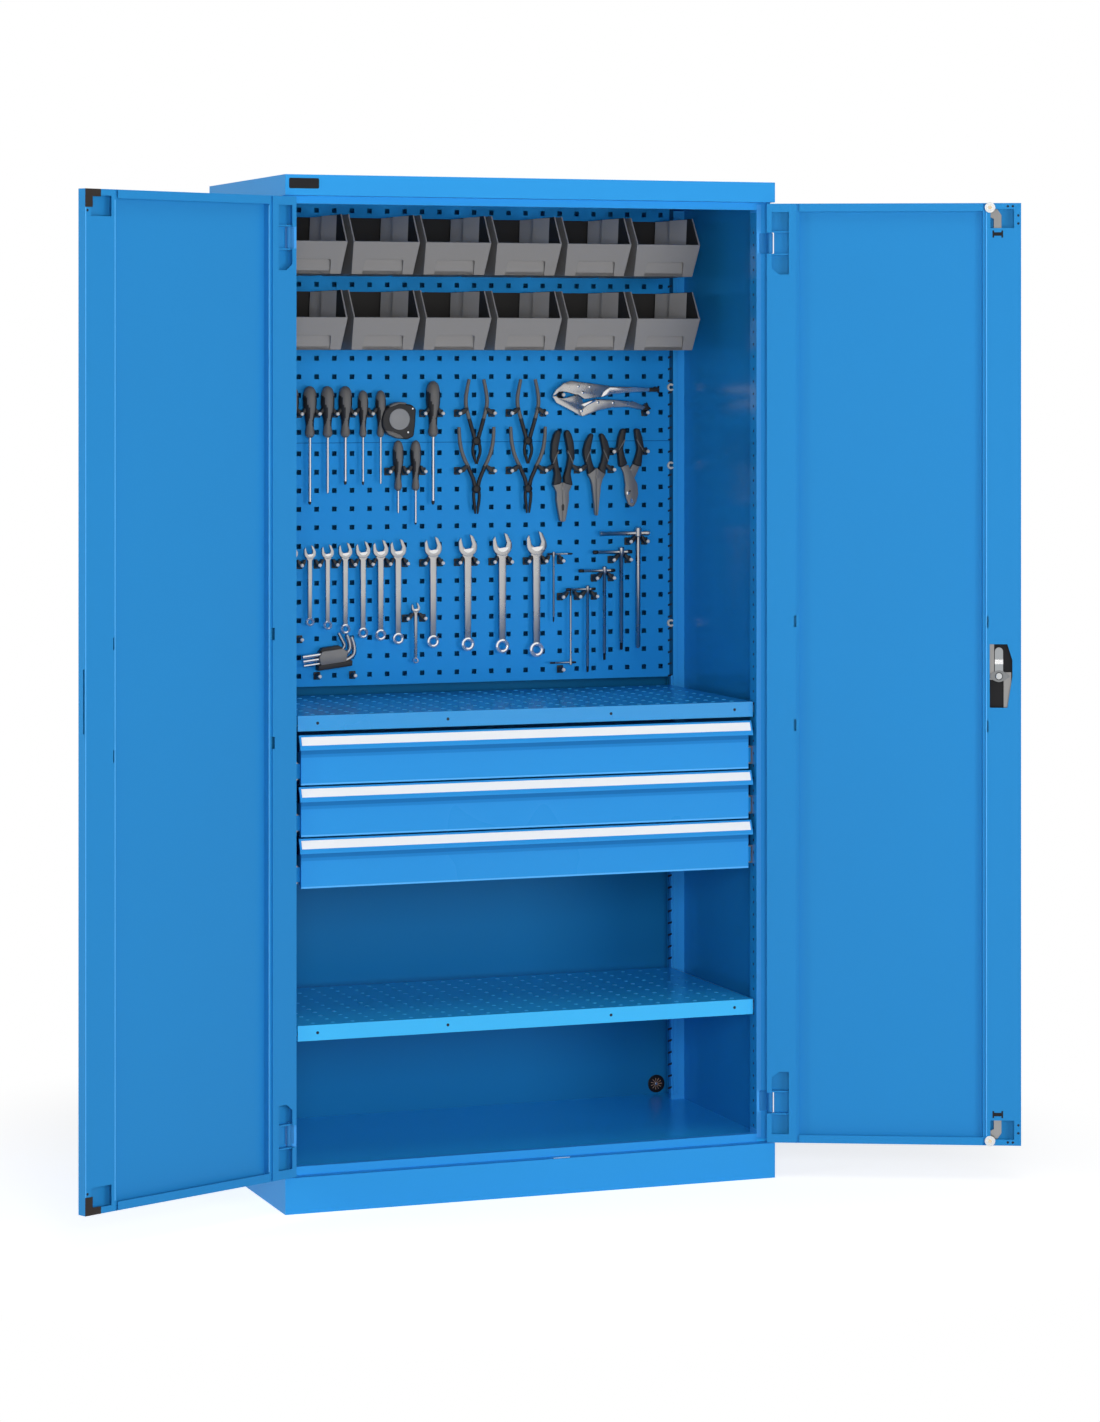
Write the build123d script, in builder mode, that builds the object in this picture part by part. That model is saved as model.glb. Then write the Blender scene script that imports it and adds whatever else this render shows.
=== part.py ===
"""Tool cabinet with two double-skin doors, perforated back panels, two shelves and three drawers.

Frame: origin on the floor under the middle of the cabinet, +X to the right, +Y to the back, +Z up.
The doors are stored swung open and every other moving piece is stored at its closed or unlocked stop.
"""

import os
from math import cos, pi

from build123d import *

os.makedirs("parts", exist_ok=True)

# ---------------------------------------------------------------- driving dimensions (mm)
WIDTH = 1023.0
DEPTH = 555.0
HEIGHT = 2000.0

SHEET = 1.5  # carcass sheet
PLINTH_HEIGHT = 70.0
PLINTH_FRONT_LEDGE = 40.0  # top flange that carries the front frame
PLINTH_FLANGE = 20.0  # the other plinth flanges
HOOD_HEIGHT = 40.0
HOOD_FRONT_LEDGE = 38.0
HOOD_FLANGE = 10.0
FLOOR_RISE = 5.0  # floor surface above the plinth
WALL_RETURN = 12.0  # rear fold of the side walls

# Front frame
FRAME_SETBACK = 24.5  # frame face behind the cabinet front
STILE_FACE = 29.5  # opening inside the cabinet's side
BOTTOM_RAIL_FACE = 16.0  # opening above the plinth
TOP_RAIL_FACE = 15.0  # opening below the hood
STILE_RETURN = 34.0
STILE_WELD_LEG = 22.0
RAIL_RETURN = 15.0

# Rear uprights and perforated panels
BOARD_SETBACK = 72.5  # panel face in front of the cabinet's back
UPRIGHT_FACE = 30.0
UPRIGHT_LEG = 45.0
UPRIGHT_RETURN = 10.0
BOARD_SIDE_GAP = 4.0  # to the uprights
BOARD_TOP_GAP = 27.0  # to the roof
BOARD_HEIGHT = 500.0
BOARD_RETURN = 12.0
HOLE_PITCH = 38.0
HOLE_SIZE = 10.0
HOLE_SIDE_MARGIN = 20.0  # least distance of the outer holes from a panel's sides
HOLE_END_MARGIN = 22.0
MIDDLE_COLUMN = 12  # number of the middle hole column and row of a panel
MIDDLE_ROW = 6
CLIP_WIDTH = 16.0
CLIP_HEIGHT = 16.0
CLIP_THICKNESS = 5.0
CLIP_MOUTH = 6.0
CLIP_ROWS = (2.4, 11.2)  # in hole pitches above each panel's lower hole row

# Cable outlet
GROMMET_FROM_SIDE = 37.5
GROMMET_RISE = 22.0  # above the cabinet floor
GROMMET_HOLE_RADIUS = 15.0
GROMMET_FLANGE_RADIUS = 19.0
GROMMET_FLANGE = 2.0
GROMMET_CLEARANCE = 0.3
GROMMET_MEMBRANE = 1.0
GROMMET_MOUTH_RADIUS = 5.0

# Shelves
UPPER_SHELF_DROP = 18.0  # below the panels
LOWER_SHELF_TOP = 356.0
SHELF_END_GAP = 5.0
SHELF_SETBACK = 8.0  # lip behind the frame face
SHELF_REAR_GAP = 4.0
SHELF_LIP = 30.0
SHELF_SIDE_LIP = 20.0
SHELF_LIP_HEM = 10.0
SHELF_HOLE_RADIUS = 2.2
SHELF_HOLE_FROM_MIDDLE = 171.0
SHELF_HOLE_FROM_END = 40.0
BRACKET_LEDGE = 15.0
BRACKET_SETBACK = 18.0  # front end behind the frame face

# Drawers
DRAWER_COUNT = 3
DRAWER_PITCH = 100.0
DRAWER_DROP = 38.0  # top drawer below the upper shelf
FRONT_HEIGHT = 97.0
FRONT_END_GAP = 13.0
FRONT_SETBACK = 12.0  # drawer face behind the frame face
FRONT_RETURN = 10.0
TRAY_INSET = 3.0  # inside the ends of the front
TRAY_REAR_GAP = 46.0
TRAY_HEIGHT = 55.0
TRAY_RISE = 7.0  # tray underside above the front's lower edge
TRAY_WALL = 1.2
GRIP_END_GAP = 8.0
GRIP_LEAN = 12.0
GRIP_DROP = 25.0
GRIP_SHEET = 2.0
GRIP_NOSE = 3.5
GRIP_LIP = 6.0
LABEL_HEIGHT = 17.0
LABEL_THICKNESS = 0.8
LABEL_INSET = 4.0  # from the grip's ends and from its top bend
SLIDE_HEIGHT = 36.0
SLIDE_SHEET = 1.5
SLIDE_LIP = 6.5
SLIDE_GAP = 0.3
MID_RAIL_INSET = 10.0  # shorter than the tray
RUNNER_INSET = 20.0

# Doors
DOOR_OPEN_ANGLE = 156.0
DOOR_THICKNESS = 20.0
DOOR_SHEET = 1.2
DOOR_EDGE_INSET = 1.0  # hinge edge inside the cabinet's side
DOOR_CENTRE_GAP = 3.0  # free edge to the cabinet's middle
DOOR_END_GAP = 3.0  # to the plinth and to the hood
DOOR_END_FLANGE = 16.0
HINGE_POST_WIDTH = 59.0
LOCK_POST_WIDTH = 70.0
POST_STEP = 6.0
POST_STEP_DEPTH = 4.0
PIVOT_FROM_EDGE = 7.0
PIVOT_FROM_FACE = 5.0
HINGE_FROM_END = 79.0
KNUCKLE_HEIGHT = 40.0
KNUCKLE_RADIUS = 5.0
KNUCKLE_GAP = 1.0
HINGE_ARM = 5.0
HINGE_PLATE = 3.0
HINGE_PLATE_WIDTH = 22.0
PIN_RADIUS = 3.0
PIN_CLEARANCE = 0.05
LUG_THICKNESS = 3.0
PIN_STANDOUT = 2.0
NOTCH_WIDTH = 14.0
WINDOW_SIZE = (34.0, 125.0)
WINDOW_FROM_EDGE = 10.0
WINDOW_FROM_END = 17.0
WINDOW_CHAMFER = (15.0, 12.0)
POST_NOTCH_HEIGHT = 23.0
POST_NOTCH_DEPTH = 5.0
POST_NOTCH_OFFSET = 104.0
CORNER_WINDOW = (47.0, 38.0)
CORNER_WINDOW_FROM_EDGE = 14.0
CORNER_WINDOW_FROM_END = 12.0
GUARD_LEG = 36.0
GUARD_WIDTH = 8.0
GUARD_THICKNESS = 1.5

# Lock on the right door
LOCK_Z = 1011.0
SPINDLE_FROM_EDGE = 44.0
SPINDLE_RADIUS = 5.0
SPINDLE_CLEARANCE = 0.3
TONGUE_LENGTH = 58.0
TONGUE_WIDTH = 17.0
TONGUE_THICKNESS = 3.0
TONGUE_BEND = 1.6
CAM_LENGTH = 43.0
CAM_WIDTH = 24.0
TONGUE_SLOT_WIDTH = 4.6
TONGUE_SLOT_BELOW = 55.0
TONGUE_SLOT_ABOVE = 64.0
LOCK_WINDOW_EDGES = (17.4, 62.5)  # near and far side from the free edge
LOCK_WINDOW_WIDENING = 10.0
LOCK_WINDOW_BELOW = 63.0
LOCK_WINDOW_ABOVE = 64.0
CASE_DEPTH = 8.0
CASE_MARGIN = 4.0
ROD_WIDTH = 15.0
ROD_THICKNESS = 3.0
ROD_FROM_EDGE = 46.5
ROD_GAP = 0.4
ROD_TRAVEL = 20.0
ROD_JOG = 17.0
ROD_STRAIGHT = 70.0  # from the spindle's height to the crank
ROD_JOG_LENGTH = 36.0
ROD_END_INSET = 24.0
ROLLER_RADIUS = 10.0
ROLLER_DEPTH = 6.0  # roller's front face to the rod's back face
ROLLER_FROM_EDGE = 62.0
ROLLER_PROUD = 1.0
ROLLER_BORE_CLEARANCE = 0.05
AXLE_RADIUS = 3.0
SLOT_CLEARANCE = 2.0
GUIDE_WIDTH = 22.0
GUIDE_HEIGHT = 14.0
GUIDE_FROM_END = 62.0
GUIDE_CLEARANCE = 0.3
HANDLE_BOSS_RADIUS = 18.0
HANDLE_BOSS_SIDES = 12
HANDLE_BOSS_HEIGHT = 8.0
HANDLE_BAR = (22.0, 110.0, 12.0)  # width, length, height
HANDLE_END_FLAT = 1.5  # half of the straight part at the bar's ends

# Fittings on the perforated panels
TOOL_STANDOUT = 15.0  # middle plane of the tools in front of the panels
HOOK_REACH = 28.0
HOOK_ROOT = 6.5
HOOK_DROP = 3.0  # hook below and above the middle of its hole row
HOOK_RISE = 12.0
LOW_PEG_RISE = 4.0
PRONG_HALF = 3.0
PEG_PLATE = 16.0
PEG_PLATE_THICKNESS = 3.0
SEAT_GAP = 0.3
DRIVER_SLOT_HALF = 9.0
SPANNER_SLOT_HALF = 10.0
KEY_SLOT_HALF = 6.0
PLIERS_SLOT_HALF = 20.0
GRIP_TAPER = 4.0  # degrees
GRIP_SIDES = 6
RING_SIDES = 8
DRIVER_NECK_RADIUS = 8.0
DRIVER_COLLAR = 12.0
DRIVER_COLLAR_SHARE = 2 / 3  # of the grip's radius
BLADE_RADIUS = 3.5
SPANNER_THICKNESS = 6.0
# spanner proportions, as shares of the head's width unless noted
HEAD_RISE = 1.1
HEAD_SHOULDER = 0.8  # of the head's half width
HALF_SHANK = 0.2
HALF_JAW = 0.22
JAW_SLANT = 0.05
RING_RADIUS = 0.4
RING_BORE = 0.24
PLIERS_WAIST = 16.0
PLIERS_CROTCH_DROP = 24.0
PLIERS_HEAD_DROP = 32.0
PLIERS_BOW_RISE = 14.0
PLIERS_TOP_INSET = 6.0
LOCKING_PLIERS_REACH = 200.0  # from the peg in the mouth to the end of the lower handle
LOCKING_PLIERS_END = 8.0
LOCKING_PLIERS_SCREW = 18.0  # upper handle's screw beyond the lower handle
KEY_SET_OVERHANG = 13.0
KEY_SET_HEIGHT = 46.0
KEY_SET_SLOPE = 14.0
KEY_SET_DEPTH = 20.0
KEY_SET_LONG_KEYS = 2
KEY_SET_KEY_PITCH = 7.0
KEY_SET_KEY_RISE = 26.0
TAPE_RADIUS = 35.0
TAPE_DEPTH = 26.0
BIN_WIDTH = 139.0
BIN_DEPTH = 237.0
BIN_HEIGHT = 120.0
BIN_FRONT_HEIGHT = 64.0
BIN_FRONT_LEAN = 32.0
BIN_NARROWING = 5.0  # per side, at the bottom
BIN_FLAT_TOP = 197.0
BIN_WALL = 2.5
BIN_ROWS = 2
BIN_PITCH = 4 * HOLE_PITCH
BIN_DROP = 157.0  # upper row's bottom below the top of the panels

# ---------------------------------------------------------------- places that follow
HALF_W = WIDTH / 2
FRONT_Y = -DEPTH / 2
BACK_Y = DEPTH / 2
FRAME_Y = FRONT_Y + FRAME_SETBACK
HOOD_Z = HEIGHT - HOOD_HEIGHT
INNER_HALF_W = HALF_W - SHEET
FLOOR_Z = PLINTH_HEIGHT + FLOOR_RISE
OPENING_HALF_WIDTH = HALF_W - STILE_FACE
OPENING_BOTTOM = PLINTH_HEIGHT + BOTTOM_RAIL_FACE
OPENING_TOP = HOOD_Z - TOP_RAIL_FACE
GROMMET_X = HALF_W - GROMMET_FROM_SIDE
GROMMET_Z = FLOOR_Z + GROMMET_RISE

BOARD_FACE_Y = BACK_Y - BOARD_SETBACK
BOARD_WIDTH = 2 * (INNER_HALF_W - UPRIGHT_FACE - BOARD_SIDE_GAP)
BOARD_TOP = HEIGHT - BOARD_TOP_GAP
BOARD_BOTTOM = BOARD_TOP - 2 * BOARD_HEIGHT
HOLES_BESIDE_MIDDLE = int((BOARD_WIDTH / 2 - HOLE_SIDE_MARGIN) / HOLE_PITCH)
HOLES_ABOVE_MIDDLE = int((BOARD_HEIGHT / 2 - HOLE_END_MARGIN) / HOLE_PITCH)
HOLE_COLUMNS = 2 * HOLES_BESIDE_MIDDLE + 1
HOLE_ROWS = 2 * HOLES_ABOVE_MIDDLE + 1
TOOL_PLANE_Y = BOARD_FACE_Y - TOOL_STANDOUT
BIN_COUNT = int(BOARD_WIDTH / BIN_PITCH)
BIN_ROW_BOTTOMS = tuple(BOARD_TOP - BIN_DROP - row * BIN_PITCH for row in range(BIN_ROWS))

SHELF_TOPS = {"upper": BOARD_BOTTOM - UPPER_SHELF_DROP, "lower": LOWER_SHELF_TOP}
SHELF_HALF_WIDTH = OPENING_HALF_WIDTH - SHELF_END_GAP
SHELF_FRONT_Y = FRAME_Y + SHELF_SETBACK
SHELF_REAR_Y = BOARD_FACE_Y - SHELF_REAR_GAP
SHELF_HOLES_X = (SHELF_HOLE_FROM_MIDDLE, SHELF_HALF_WIDTH - SHELF_HOLE_FROM_END)
BRACKET_START_Y = FRAME_Y + BRACKET_SETBACK
DRAWER_TOP = SHELF_TOPS["upper"] - DRAWER_DROP
FRONT_HALF_WIDTH = OPENING_HALF_WIDTH - FRONT_END_GAP
FRONT_FACE_Y = FRAME_Y + FRONT_SETBACK
TRAY_HALF_WIDTH = FRONT_HALF_WIDTH - TRAY_INSET
TRAY_DEPTH = BOARD_FACE_Y - FRONT_FACE_Y - TRAY_REAR_GAP
MID_RAIL_LENGTH = TRAY_DEPTH - MID_RAIL_INSET
RUNNER_LENGTH = TRAY_DEPTH - RUNNER_INSET
DRAWER_TRAVEL = RUNNER_LENGTH
GRIP_HALF_WIDTH = OPENING_HALF_WIDTH - GRIP_END_GAP

HINGE_EDGE_X = HALF_W - DOOR_EDGE_INSET
FREE_EDGE_X = DOOR_CENTRE_GAP
DOOR_BOTTOM = PLINTH_HEIGHT + DOOR_END_GAP
DOOR_TOP = HOOD_Z - DOOR_END_GAP
DOOR_INNER_Y = FRONT_Y + DOOR_THICKNESS
SKIN_Y = FRONT_Y + DOOR_SHEET
PIVOT_X = HINGE_EDGE_X - PIVOT_FROM_EDGE
PIVOT_Y = FRONT_Y + PIVOT_FROM_FACE
KNUCKLES_Z = (DOOR_BOTTOM + HINGE_FROM_END, DOOR_TOP - HINGE_FROM_END)
SPINDLE_X = FREE_EDGE_X + SPINDLE_FROM_EDGE
TONGUE_Y = DOOR_INNER_Y - DOOR_SHEET - TONGUE_BEND - TONGUE_THICKNESS
ROD_Y = TONGUE_Y - ROD_GAP - ROD_THICKNESS
CASE_Y = ROD_Y - ROD_GAP
ROLLER_X = FREE_EDGE_X + ROLLER_FROM_EDGE
TONGUE_SLOT_BOTTOM = LOCK_Z - TONGUE_SLOT_BELOW
TONGUE_SLOT_TOP = LOCK_Z + TONGUE_SLOT_ABOVE
LOCK_WINDOW_NEAR = FREE_EDGE_X + LOCK_WINDOW_EDGES[0]
LOCK_WINDOW_FAR = FREE_EDGE_X + LOCK_WINDOW_EDGES[1]
LOCK_WINDOW_BOTTOM = LOCK_Z - LOCK_WINDOW_BELOW
LOCK_WINDOW_TOP = LOCK_Z + LOCK_WINDOW_ABOVE
ROLLER_Y = ROD_Y + ROD_THICKNESS - ROLLER_DEPTH - SLIDE_GAP


# ---------------------------------------------------------------- shared operations
def block(x, y, z, mode=Mode.ADD):
    """Rectangular block between pairs of limits."""
    with Locations(((x[0] + x[1]) / 2, (y[0] + y[1]) / 2, (z[0] + z[1]) / 2)):
        Box(abs(x[1] - x[0]), abs(y[1] - y[0]), abs(z[1] - z[0]), mode=mode)


def folded(plane, points, length, thickness=SHEET, side=Side.LEFT):
    """Bent sheet: a line of folds given its thickness on one side, then drawn out along its length."""
    with BuildSketch(plane) as section:
        with BuildLine():
            Polyline(*points)
            offset(amount=thickness, side=side, kind=Kind.INTERSECTION)
        make_face()
    extrude(section.sketch, amount=length)


def prism(plane, points, length, mode=Mode.ADD):
    """Straight-sided outline drawn out from its plane."""
    with BuildSketch(plane) as outline:
        with BuildLine():
            Polyline(*points, close=True)
        make_face()
    extrude(outline.sketch, amount=length, mode=mode)


def rim(width, depth, band, z, height, middle=(0.0, 0.0)):
    """Rectangular ring of sheet lying flat: outer size, band width, bottom and height."""
    with BuildSketch(Plane.XY.offset(z)) as ring:
        with Locations(middle):
            Rectangle(width, depth)
            Rectangle(width - 2 * band, depth - 2 * band, mode=Mode.SUBTRACT)
    extrude(ring.sketch, amount=height)


def both_sides(half):
    """The same solids on the right and mirrored to the left."""
    with BuildPart() as pair:
        add(half.part)
        mirror(half.part, about=Plane.YZ)
    return pair


def swung(part, side):
    """A door piece built shut, turned about its hinge line to the stored open position."""
    hinge_line = Axis((side * PIVOT_X, PIVOT_Y, 0), (0, 0, 1))
    return part.rotate(hinge_line, side * DOOR_OPEN_ANGLE)


def save(part, name):
    part.label = name
    export_step(part, f"parts/{name}.step")


# ---------------------------------------------------------------- carcass
def lock_slot(z, height):
    """Slot that a rod's roller and end enter when the right door is locked."""
    half_width = ROLLER_RADIUS + SLOT_CLEARANCE
    block(
        (ROLLER_X - half_width, ROLLER_X + half_width),
        (ROLLER_Y - SLOT_CLEARANCE, ROD_Y + ROD_THICKNESS + SLOT_CLEARANCE),
        (z, z + height),
        mode=Mode.SUBTRACT,
    )
    block(
        (FREE_EDGE_X + ROD_FROM_EDGE - ROD_WIDTH / 2 - SLOT_CLEARANCE, ROLLER_X),
        (ROLLER_Y - SLOT_CLEARANCE, ROD_Y + ROD_THICKNESS + SLOT_CLEARANCE),
        (z, z + height),
        mode=Mode.SUBTRACT,
    )


with BuildPart() as plinth:
    rim(WIDTH, DEPTH, SHEET, 0, PLINTH_HEIGHT)
    rim(WIDTH, DEPTH, PLINTH_FLANGE, 0, SHEET)
    rim(WIDTH, DEPTH, PLINTH_FLANGE, PLINTH_HEIGHT - SHEET, SHEET)
    block(
        (-INNER_HALF_W, INNER_HALF_W),
        (FRONT_Y + SHEET, FRONT_Y + PLINTH_FRONT_LEDGE),
        (PLINTH_HEIGHT - SHEET, PLINTH_HEIGHT),
    )
    lock_slot(PLINTH_HEIGHT - SHEET, SHEET)
save(plinth.part, "plinth")

with BuildPart() as floor_panel:
    floor_depth = BACK_Y - SHEET - FRAME_Y - SHEET
    floor_middle = (0, FRAME_Y + SHEET + floor_depth / 2)
    rim(2 * INNER_HALF_W, floor_depth, SHEET, PLINTH_HEIGHT, FLOOR_RISE, floor_middle)
    with BuildSketch(Plane.XY.offset(FLOOR_Z - SHEET)):
        with Locations(floor_middle):
            Rectangle(2 * INNER_HALF_W, floor_depth)
    extrude(amount=SHEET)
save(floor_panel.part, "floor_panel")

with BuildPart() as right_side_wall:
    folded(
        Plane.XY.offset(PLINTH_HEIGHT),
        [(HALF_W, FRAME_Y), (HALF_W, BACK_Y), (HALF_W - WALL_RETURN, BACK_Y)],
        HOOD_Z - PLINTH_HEIGHT,
    )
save(right_side_wall.part, "right_side_wall")
with BuildPart() as left_side_wall:
    mirror(right_side_wall.part, about=Plane.YZ)
save(left_side_wall.part, "left_side_wall")

with BuildPart() as back_wall:
    block(
        (-HALF_W + WALL_RETURN, HALF_W - WALL_RETURN),
        (BACK_Y - SHEET, BACK_Y),
        (PLINTH_HEIGHT, HOOD_Z),
    )
    with BuildSketch(Plane.XZ.offset(-BACK_Y)):
        with Locations((GROMMET_X, GROMMET_Z)):
            Circle(GROMMET_HOLE_RADIUS)
    extrude(amount=SHEET, mode=Mode.SUBTRACT)
save(back_wall.part, "back_wall")

with BuildPart() as roof_hood:
    rim(WIDTH, DEPTH, SHEET, HOOD_Z, HOOD_HEIGHT)
    rim(WIDTH, DEPTH, HOOD_FLANGE, HOOD_Z, SHEET)
    with BuildSketch(Plane.XY.offset(HEIGHT - SHEET)):
        Rectangle(WIDTH, DEPTH)
    extrude(amount=SHEET)
    block(
        (-INNER_HALF_W, INNER_HALF_W),
        (FRONT_Y + SHEET, FRONT_Y + HOOD_FRONT_LEDGE),
        (HOOD_Z, HOOD_Z + SHEET),
    )
    lock_slot(HOOD_Z, SHEET)
save(roof_hood.part, "roof_hood")

with BuildPart() as right_stile:
    folded(
        Plane.XY.offset(FLOOR_Z),
        [
            (INNER_HALF_W, FRAME_Y + STILE_WELD_LEG),
            (INNER_HALF_W, FRAME_Y),
            (OPENING_HALF_WIDTH, FRAME_Y),
            (OPENING_HALF_WIDTH, FRAME_Y + STILE_RETURN),
        ],
        HOOD_Z - FLOOR_Z,
        side=Side.RIGHT,
    )
save(both_sides(right_stile).part, "front_stiles")

with BuildPart() as top_front_rail:
    folded(
        Plane.YZ.offset(-OPENING_HALF_WIDTH),
        [
            (FRAME_Y + RAIL_RETURN, HOOD_Z),
            (FRAME_Y, HOOD_Z),
            (FRAME_Y, OPENING_TOP),
            (FRAME_Y + RAIL_RETURN, OPENING_TOP),
        ],
        2 * OPENING_HALF_WIDTH,
    )
save(top_front_rail.part, "top_front_rail")

with BuildPart() as bottom_front_rail:
    folded(
        Plane.YZ.offset(-OPENING_HALF_WIDTH),
        [
            (FRAME_Y, PLINTH_HEIGHT),
            (FRAME_Y, OPENING_BOTTOM),
            (FRAME_Y + RAIL_RETURN, OPENING_BOTTOM),
            (FRAME_Y + RAIL_RETURN, FLOOR_Z),
        ],
        2 * OPENING_HALF_WIDTH,
        side=Side.RIGHT,
    )
save(bottom_front_rail.part, "bottom_front_rail")

with BuildPart() as right_upright:
    folded(
        Plane.XY.offset(FLOOR_Z),
        [
            (INNER_HALF_W, BOARD_FACE_Y + UPRIGHT_LEG),
            (INNER_HALF_W, BOARD_FACE_Y),
            (INNER_HALF_W - UPRIGHT_FACE, BOARD_FACE_Y),
            (INNER_HALF_W - UPRIGHT_FACE, BOARD_FACE_Y + UPRIGHT_RETURN),
        ],
        HOOD_Z - FLOOR_Z,
        side=Side.RIGHT,
    )
save(both_sides(right_upright).part, "rear_uprights")


# ---------------------------------------------------------------- perforated panels and their clips
def perforated_board(bottom):
    """Panel with its four edges folded back and a grid of square holes."""
    middle_z = bottom + BOARD_HEIGHT / 2
    with BuildPart() as board:
        with BuildSketch(Plane.XZ.offset(-BOARD_FACE_Y - SHEET)):
            with Locations((0, middle_z)):
                Rectangle(BOARD_WIDTH, BOARD_HEIGHT)
                with GridLocations(HOLE_PITCH, HOLE_PITCH, HOLE_COLUMNS, HOLE_ROWS):
                    Rectangle(HOLE_SIZE, HOLE_SIZE, mode=Mode.SUBTRACT)
        extrude(amount=SHEET)
        with BuildSketch(Plane.XZ.offset(-BOARD_FACE_Y - BOARD_RETURN)):
            with Locations((0, middle_z)):
                Rectangle(BOARD_WIDTH, BOARD_HEIGHT)
                Rectangle(BOARD_WIDTH - 2 * SHEET, BOARD_HEIGHT - 2 * SHEET, mode=Mode.SUBTRACT)
        extrude(amount=BOARD_RETURN)
    return board


def hole_row_z(board, row):
    """Height of a hole row of board 0 (lower) or 1 (upper), counted so that MIDDLE_ROW is central."""
    middle = BOARD_BOTTOM + (board + 0.5) * BOARD_HEIGHT
    return middle + (row - MIDDLE_ROW) * HOLE_PITCH


def hole_column_x(column):
    """Place of a hole column counted to the right; halves lie midway between two columns."""
    return (column - MIDDLE_COLUMN) * HOLE_PITCH


lower_pegboard = perforated_board(BOARD_BOTTOM)
save(lower_pegboard.part, "lower_pegboard")
upper_pegboard = perforated_board(BOARD_BOTTOM + BOARD_HEIGHT)
save(upper_pegboard.part, "upper_pegboard")

with BuildPart() as right_clips:
    clip_x = BOARD_WIDTH / 2 + (INNER_HALF_W - UPRIGHT_FACE - BOARD_WIDTH / 2) / 2
    for board_index in range(2):
        for clip_row in CLIP_ROWS:
            clip_z = hole_row_z(board_index, clip_row)
            outline = [
                (clip_x - CLIP_WIDTH / 2, clip_z - CLIP_HEIGHT / 2),
                (clip_x + CLIP_WIDTH / 2, clip_z - CLIP_HEIGHT / 2),
                (clip_x + CLIP_WIDTH / 2, clip_z - CLIP_MOUTH / 2),
                (clip_x, clip_z - CLIP_MOUTH / 2),
                (clip_x, clip_z + CLIP_MOUTH / 2),
                (clip_x + CLIP_WIDTH / 2, clip_z + CLIP_MOUTH / 2),
                (clip_x + CLIP_WIDTH / 2, clip_z + CLIP_HEIGHT / 2),
                (clip_x - CLIP_WIDTH / 2, clip_z + CLIP_HEIGHT / 2),
            ]
            prism(Plane.XZ.offset(-BOARD_FACE_Y), outline, CLIP_THICKNESS)
save(both_sides(right_clips).part, "pegboard_clips")

with BuildPart() as cable_grommet:
    grommet_plane = Plane.XZ.offset(-BACK_Y + SHEET)
    with BuildSketch(grommet_plane):
        with Locations((GROMMET_X, GROMMET_Z)):
            Circle(GROMMET_FLANGE_RADIUS)
    extrude(amount=GROMMET_FLANGE)
    with BuildSketch(grommet_plane):
        with Locations((GROMMET_X, GROMMET_Z)):
            Circle(GROMMET_HOLE_RADIUS - GROMMET_CLEARANCE)
    extrude(amount=-SHEET)
    with BuildSketch(Plane.XZ.offset(-BACK_Y + SHEET - GROMMET_MEMBRANE)):
        with Locations((GROMMET_X, GROMMET_Z)):
            Circle(GROMMET_HOLE_RADIUS - 2 * GROMMET_MEMBRANE)
    extrude(amount=SHEET + GROMMET_FLANGE, mode=Mode.SUBTRACT)
    with BuildSketch(Plane.XZ.offset(-BACK_Y)):
        with Locations((GROMMET_X, GROMMET_Z)):
            Circle(GROMMET_MOUTH_RADIUS)
    extrude(amount=SHEET, mode=Mode.SUBTRACT)
save(cable_grommet.part, "cable_grommet")


# ---------------------------------------------------------------- shelves
def shelf(top):
    """Sheet tray turned upside down: deep hemmed front lip with four holes, shallower side lips."""
    with BuildPart() as tray:
        block(
            (-SHELF_HALF_WIDTH, SHELF_HALF_WIDTH), (SHELF_FRONT_Y, SHELF_REAR_Y), (top - SHEET, top)
        )
        folded(
            Plane.YZ.offset(-SHELF_HALF_WIDTH),
            [
                (SHELF_FRONT_Y, top - SHEET),
                (SHELF_FRONT_Y, top - SHELF_LIP),
                (SHELF_FRONT_Y + SHELF_LIP_HEM, top - SHELF_LIP),
            ],
            2 * SHELF_HALF_WIDTH,
        )
        for side in (-1, 1):
            edge = side * SHELF_HALF_WIDTH
            block(
                (edge, edge - side * SHEET),
                (BRACKET_START_Y, SHELF_REAR_Y),
                (top - SHELF_SIDE_LIP, top - SHEET),
            )
        block(
            (-SHELF_HALF_WIDTH, SHELF_HALF_WIDTH),
            (SHELF_REAR_Y - SHEET, SHELF_REAR_Y),
            (top - SHELF_SIDE_LIP, top - SHEET),
        )
        with BuildSketch(Plane.XZ.offset(-SHELF_FRONT_Y - SHEET)):
            for x in SHELF_HOLES_X:
                with Locations((-x, top - SHELF_LIP / 2), (x, top - SHELF_LIP / 2)):
                    RegularPolygon(SHELF_HOLE_RADIUS, 6)
        extrude(amount=SHEET, mode=Mode.SUBTRACT)
    return tray


for shelf_name, shelf_top in SHELF_TOPS.items():
    save(shelf(shelf_top).part, f"{shelf_name}_shelf")

with BuildPart() as right_brackets:
    for shelf_top in SHELF_TOPS.values():
        ledge_z = shelf_top - SHELF_SIDE_LIP
        folded(
            Plane.XZ.offset(-BOARD_FACE_Y),
            [
                (OPENING_HALF_WIDTH - BRACKET_LEDGE, ledge_z - SHEET),
                (OPENING_HALF_WIDTH, ledge_z - SHEET),
                (OPENING_HALF_WIDTH, shelf_top - SHEET),
            ],
            BOARD_FACE_Y - BRACKET_START_Y,
        )
save(both_sides(right_brackets).part, "shelf_brackets")


# ---------------------------------------------------------------- drawers
def drawer_top(index):
    return DRAWER_TOP - index * DRAWER_PITCH


def slide_middle(index):
    return drawer_top(index) - FRONT_HEIGHT + TRAY_RISE + SLIDE_HEIGHT / 2 + SLIDE_SHEET


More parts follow.
